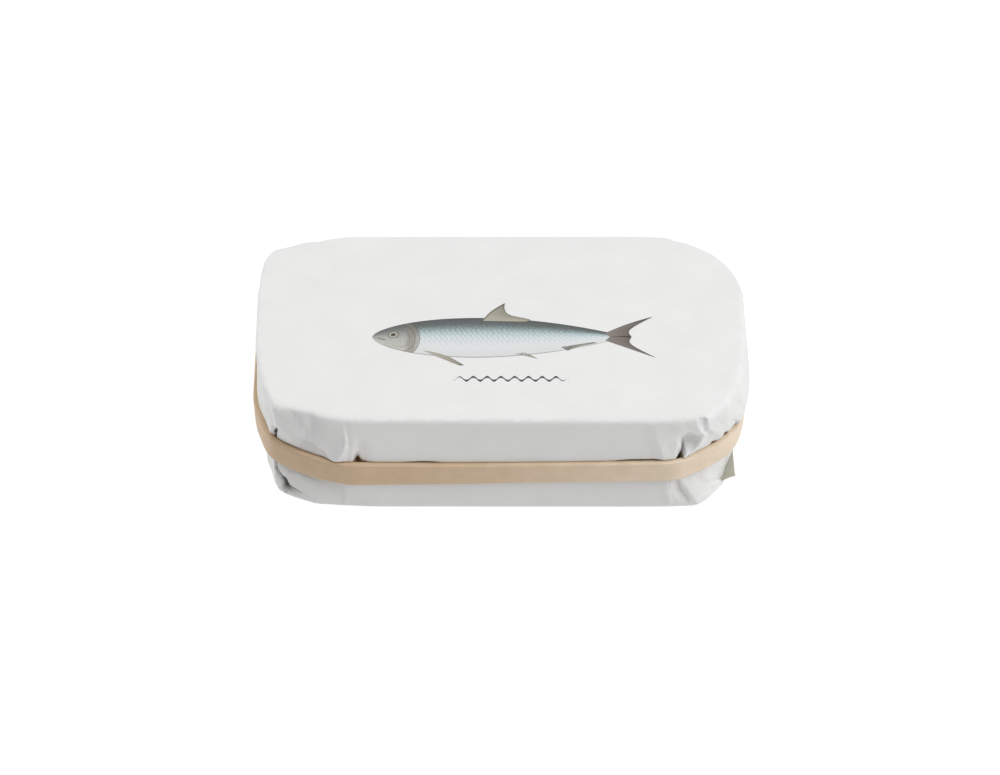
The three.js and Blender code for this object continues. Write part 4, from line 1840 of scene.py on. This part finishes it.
@dataclass
class TopPrint:
    """A plain sardine drawn from a few sizes, and a small wave line under it, printed on the paper."""

    paper: PaperWrap
    nose: Point = (-27.0, -4.4)
    body_length: float = 51.5
    back_depth: float = 5.9
    belly_depth: float = 6.3
    root_depth: float = 1.25
    fullness: float = 0.62
    taper: float = 1.0
    body_faces: tuple[int, int] = (96, 24)
    fin_faces: tuple[int, int] = (12, 16)
    wave_faces: tuple[int, int] = (180, 2)
    ink: float = 0.03
    merge_within: float = 0.001
    wave_from: float = -9.5
    wave_to: float = 15.0
    wave_middle: float = -17.9
    wave_pitch: float = 2.9
    wave_height: float = 0.6
    wave_line: float = 0.66
    wave_thin: float = 0.6
    wave_ends: float = 8.0
    fins: tuple[Fin, ...] = (
        Fin((-3.4, 0.9), (6.0, 0.6), (1.6, 6.9), (7.2, 1.2), 0.42, 0.5),
        Fin((-15.8, -8.9), (-13.6, -10.4), (-7.2, -13.6), (-8.0, -13.7), 0.0, 0.8),
        Fin((3.2, -9.9), (5.8, -9.4), (8.6, -11.6), (7.4, -10.6), 0.0, 0.2),
        Fin((13.6, -7.7), (20.6, -6.1), (15.0, -8.9), (21.4, -6.4), 0.3, 0.0),
    )
    tail: tuple[Fin, ...] = (
        Fin((23.2, -3.2), (24.2, -4.4), (33.6, 2.3), (28.8, -4.8), 0.36, 0.35),
        Fin((24.2, -4.4), (23.2, -5.6), (28.8, -4.0), (33.6, -11.1), 0.36, 0.0),
    )

    def _press(self, piece: bpy.types.Object, x: Field, y: Field) -> None:
        """Lay a flat piece on the paper's top, as thin as ink.

        Args:
            piece: the piece's grid.
            x: where its vertices go across the pack.
            y: where they go from front to back.
        """
        places = np.stack([x, y, self.paper.top_height(x, y) + self.ink], axis=-1)
        place_vertices(piece, places)
        merge_vertices(self.merge_within)
        apply_modifier(piece, "SOLIDIFY", thickness=2 * self.ink * MM, offset=-1.0)
        finish_piece(piece, SHARP_INK)

    def _body(self) -> bpy.types.Object:
        """Model the body: a grid pressed between the line of the back and the line of the belly.

        Returns:
            The body.
        """
        body, along, up = flat_grid("fish_body", *self.body_faces)
        peak = self.fullness / (self.fullness + self.taper)
        most = peak**self.fullness * (1 - peak) ** self.taper
        shape = along**self.fullness * (1 - along) ** self.taper / most
        root = self.root_depth * smooth(along)
        above = self.back_depth * shape + root
        below = self.belly_depth * shape + root
        x = self.nose[0] + self.body_length * along
        y = self.nose[1] - below + up * (above + below)
        self._press(body, x, y)
        return body

    def _fins(self, name: str, fins: tuple[Fin, ...]) -> bpy.types.Object:
        """Model several fins and join them.

        Args:
            name: the piece's name.
            fins: the fins that it is made of.

        Returns:
            The joined fins.
        """
        pieces = []
        for fin in fins:
            piece, out, across = flat_grid(name, *self.fin_faces)
            self._press(piece, *fin.places(out, across))
            pieces.append(piece)
        nothing_selected()
        for piece in pieces:
            piece.select_set(True)
        bpy.context.view_layer.objects.active = pieces[0]
        bpy.ops.object.join()
        return named(name)

    def _wave(self) -> bpy.types.Object:
        """Model the wave line: a ribbon that swells on its crests and thins at its ends.

        Returns:
            The wave line.
        """
        wave, along, up = flat_grid("wave_line", *self.wave_faces)
        x = self.wave_from + along * (self.wave_to - self.wave_from)
        phase = x / self.wave_pitch * 2 * math.pi
        ends = smooth(self.wave_ends * np.minimum(along, 1 - along))
        thick = self.wave_line * (self.wave_thin + (1 - self.wave_thin) * np.sin(phase) ** 2) * ends
        y = self.wave_middle + self.wave_height * np.sin(phase) + (up - 0.5) * thick
        self._press(wave, x, y)
        return wave

    def build(self) -> list[bpy.types.Object]:
        """Build the print and ink it.

        Returns:
            The tail, the body, the other fins and the wave line.
        """
        tail, body = self._fins("fish_tail", self.tail), self._body()
        fins, wave = self._fins("fish_fins", self.fins), self._wave()
        inks = (BROWN_FIN_INK, FISH_INK, BEIGE_FIN_INK, GREY_INK)
        for piece, ink in zip((tail, body, fins, wave), inks):
            piece.data.materials.append(ink.material())
        return [tail, body, fins, wave]


# The studio


@dataclass(frozen=True)
class Softbox:
    """A square soft light aimed at the pack; 0 degrees round is in front of it, and 90 at its right."""

    name: str
    round_degrees: float
    up_degrees: float
    watts: float
    distance: float = 1.4
    size: float = 0.9

    def build(self) -> None:
        """Hang the light."""
        lamp = bpy.data.lights.new(self.name, "AREA")
        lamp.shape = "SQUARE"
        lamp.size = self.size
        lamp.energy = self.watts
        box = bpy.data.objects.new(self.name, lamp)
        bpy.context.scene.collection.objects.link(box)
        turn, up = math.radians(self.round_degrees), math.radians(self.up_degrees)
        level = self.distance * math.cos(up)
        box.location = (level * math.sin(turn), -level * math.cos(turn), self.distance * math.sin(up))
        box.rotation_euler = (-box.location).to_track_quat("-Z", "Y").to_euler()


@dataclass
class Studio:
    """A white table in soft light, and the camera at the photograph's place; sizes are in metres.

    The table is lit from inside: it shines on what the camera sees of it, and glows less on the pack.
    """

    camera_distance: float = 0.464
    camera_elevation: float = 42.0
    aim: Place = (0.00053, 0.0, 0.00634)
    focal_length: float = 75.0
    sensor_width: float = 36.0
    nearest_seen: float = 0.01
    table_width: float = 6.0
    table_dark: Colour = (0.3, 0.3, 0.3)
    table_pale: Colour = (0.31, 0.31, 0.31)
    table_roughness: float = 0.9
    grain_scale: float = 0.02
    table_glow: float = 0.7
    table_shine: float = 0.8
    room_light: float = 0.03
    backdrop: float = 0.85
    boxes: tuple[Softbox, ...] = (
        Softbox("top_softbox", 0.0, 90.0, 9.9),
        Softbox("front_right_softbox", 60.0, 50.0, 8.2),
        Softbox("back_left_softbox", 240.0, 20.0, 8.9),
        Softbox("right_softbox", 95.0, 20.0, 4.2),
    )

    def build(self) -> None:
        """Lay the table, hang the lights, light the room and place the camera."""
        self._table()
        for box in self.boxes:
            box.build()
        self._room()
        self._camera()

    def _table(self) -> None:
        """Lay a wide white table under the pack."""
        nothing_selected()
        bpy.ops.mesh.primitive_plane_add(size=self.table_width)
        table = named("table")
        recipe = Recipe("white_table")
        grain = recipe.noise(recipe.millimetres(), self.grain_scale)
        seen = recipe.node("ShaderNodeLightPath", out="Is Camera Ray")
        dull = (self.table_glow / self.table_shine,) * 3
        recipe.surface(
            {
                "Base Color": recipe.blend(grain, self.table_dark, self.table_pale),
                "Roughness": self.table_roughness,
                "Emission Color": recipe.blend(seen, dull, (1.0, 1.0, 1.0)),
                "Emission Strength": self.table_shine,
            }
        )
        table.data.materials.append(recipe.material)

    def _room(self) -> None:
        """Fill the room with faint even light, in front of a pale backdrop that gives none."""
        world = bpy.data.worlds.new("room")
        world.use_nodes = True
        nodes = world.node_tree.nodes
        rays = nodes.new("ShaderNodeLightPath")
        level = nodes.new("ShaderNodeMapRange")
        level.inputs["To Min"].default_value = self.room_light
        level.inputs["To Max"].default_value = self.backdrop
        world.node_tree.links.new(rays.outputs["Is Camera Ray"], level.inputs["Value"])
        background = nodes["Background"]
        background.inputs["Color"].default_value = (1.0, 1.0, 1.0, 1.0)
        world.node_tree.links.new(level.outputs[0], background.inputs["Strength"])
        bpy.context.scene.world = world
        bpy.context.scene.view_settings.view_transform = "Standard"

    def _camera(self) -> None:
        """Place the camera in front of the pack, looking down at it."""
        lens = bpy.data.cameras.new("camera")
        lens.lens = self.focal_length
        lens.sensor_width = self.sensor_width
        lens.clip_start = self.nearest_seen
        camera = bpy.data.objects.new("camera", lens)
        bpy.context.scene.collection.objects.link(camera)
        tilt = math.radians(self.camera_elevation)
        back = Vector((0.0, -math.cos(tilt), math.sin(tilt))) * self.camera_distance
        camera.location = Vector(self.aim) + back
        camera.rotation_euler = (math.pi / 2 - tilt, 0.0, 0.0)
        bpy.context.scene.camera = camera


def report(pieces: Iterable[bpy.types.Object]) -> None:
    """Let the pieces ride on the pack and log each one.

    Args:
        pieces: the finished pieces of one class.
    """
    for piece in pieces:
        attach(piece, BODY)
        log.info("%s: %d faces", piece.name, len(piece.data.polygons))


def main() -> None:
    """Build the studio and every piece of the pack."""
    logging.basicConfig(level=logging.INFO, format="%(name)s %(message)s")
    Studio().build()
    paper = PaperWrap()
    report(paper.build())
    report(PaperEar().build())
    report(UndersideFlaps().build())
    report(TopPrint(paper).build())
    report(RubberBand().build())
    bpy.context.view_layer.update()


if __name__ == "__main__":
    main()
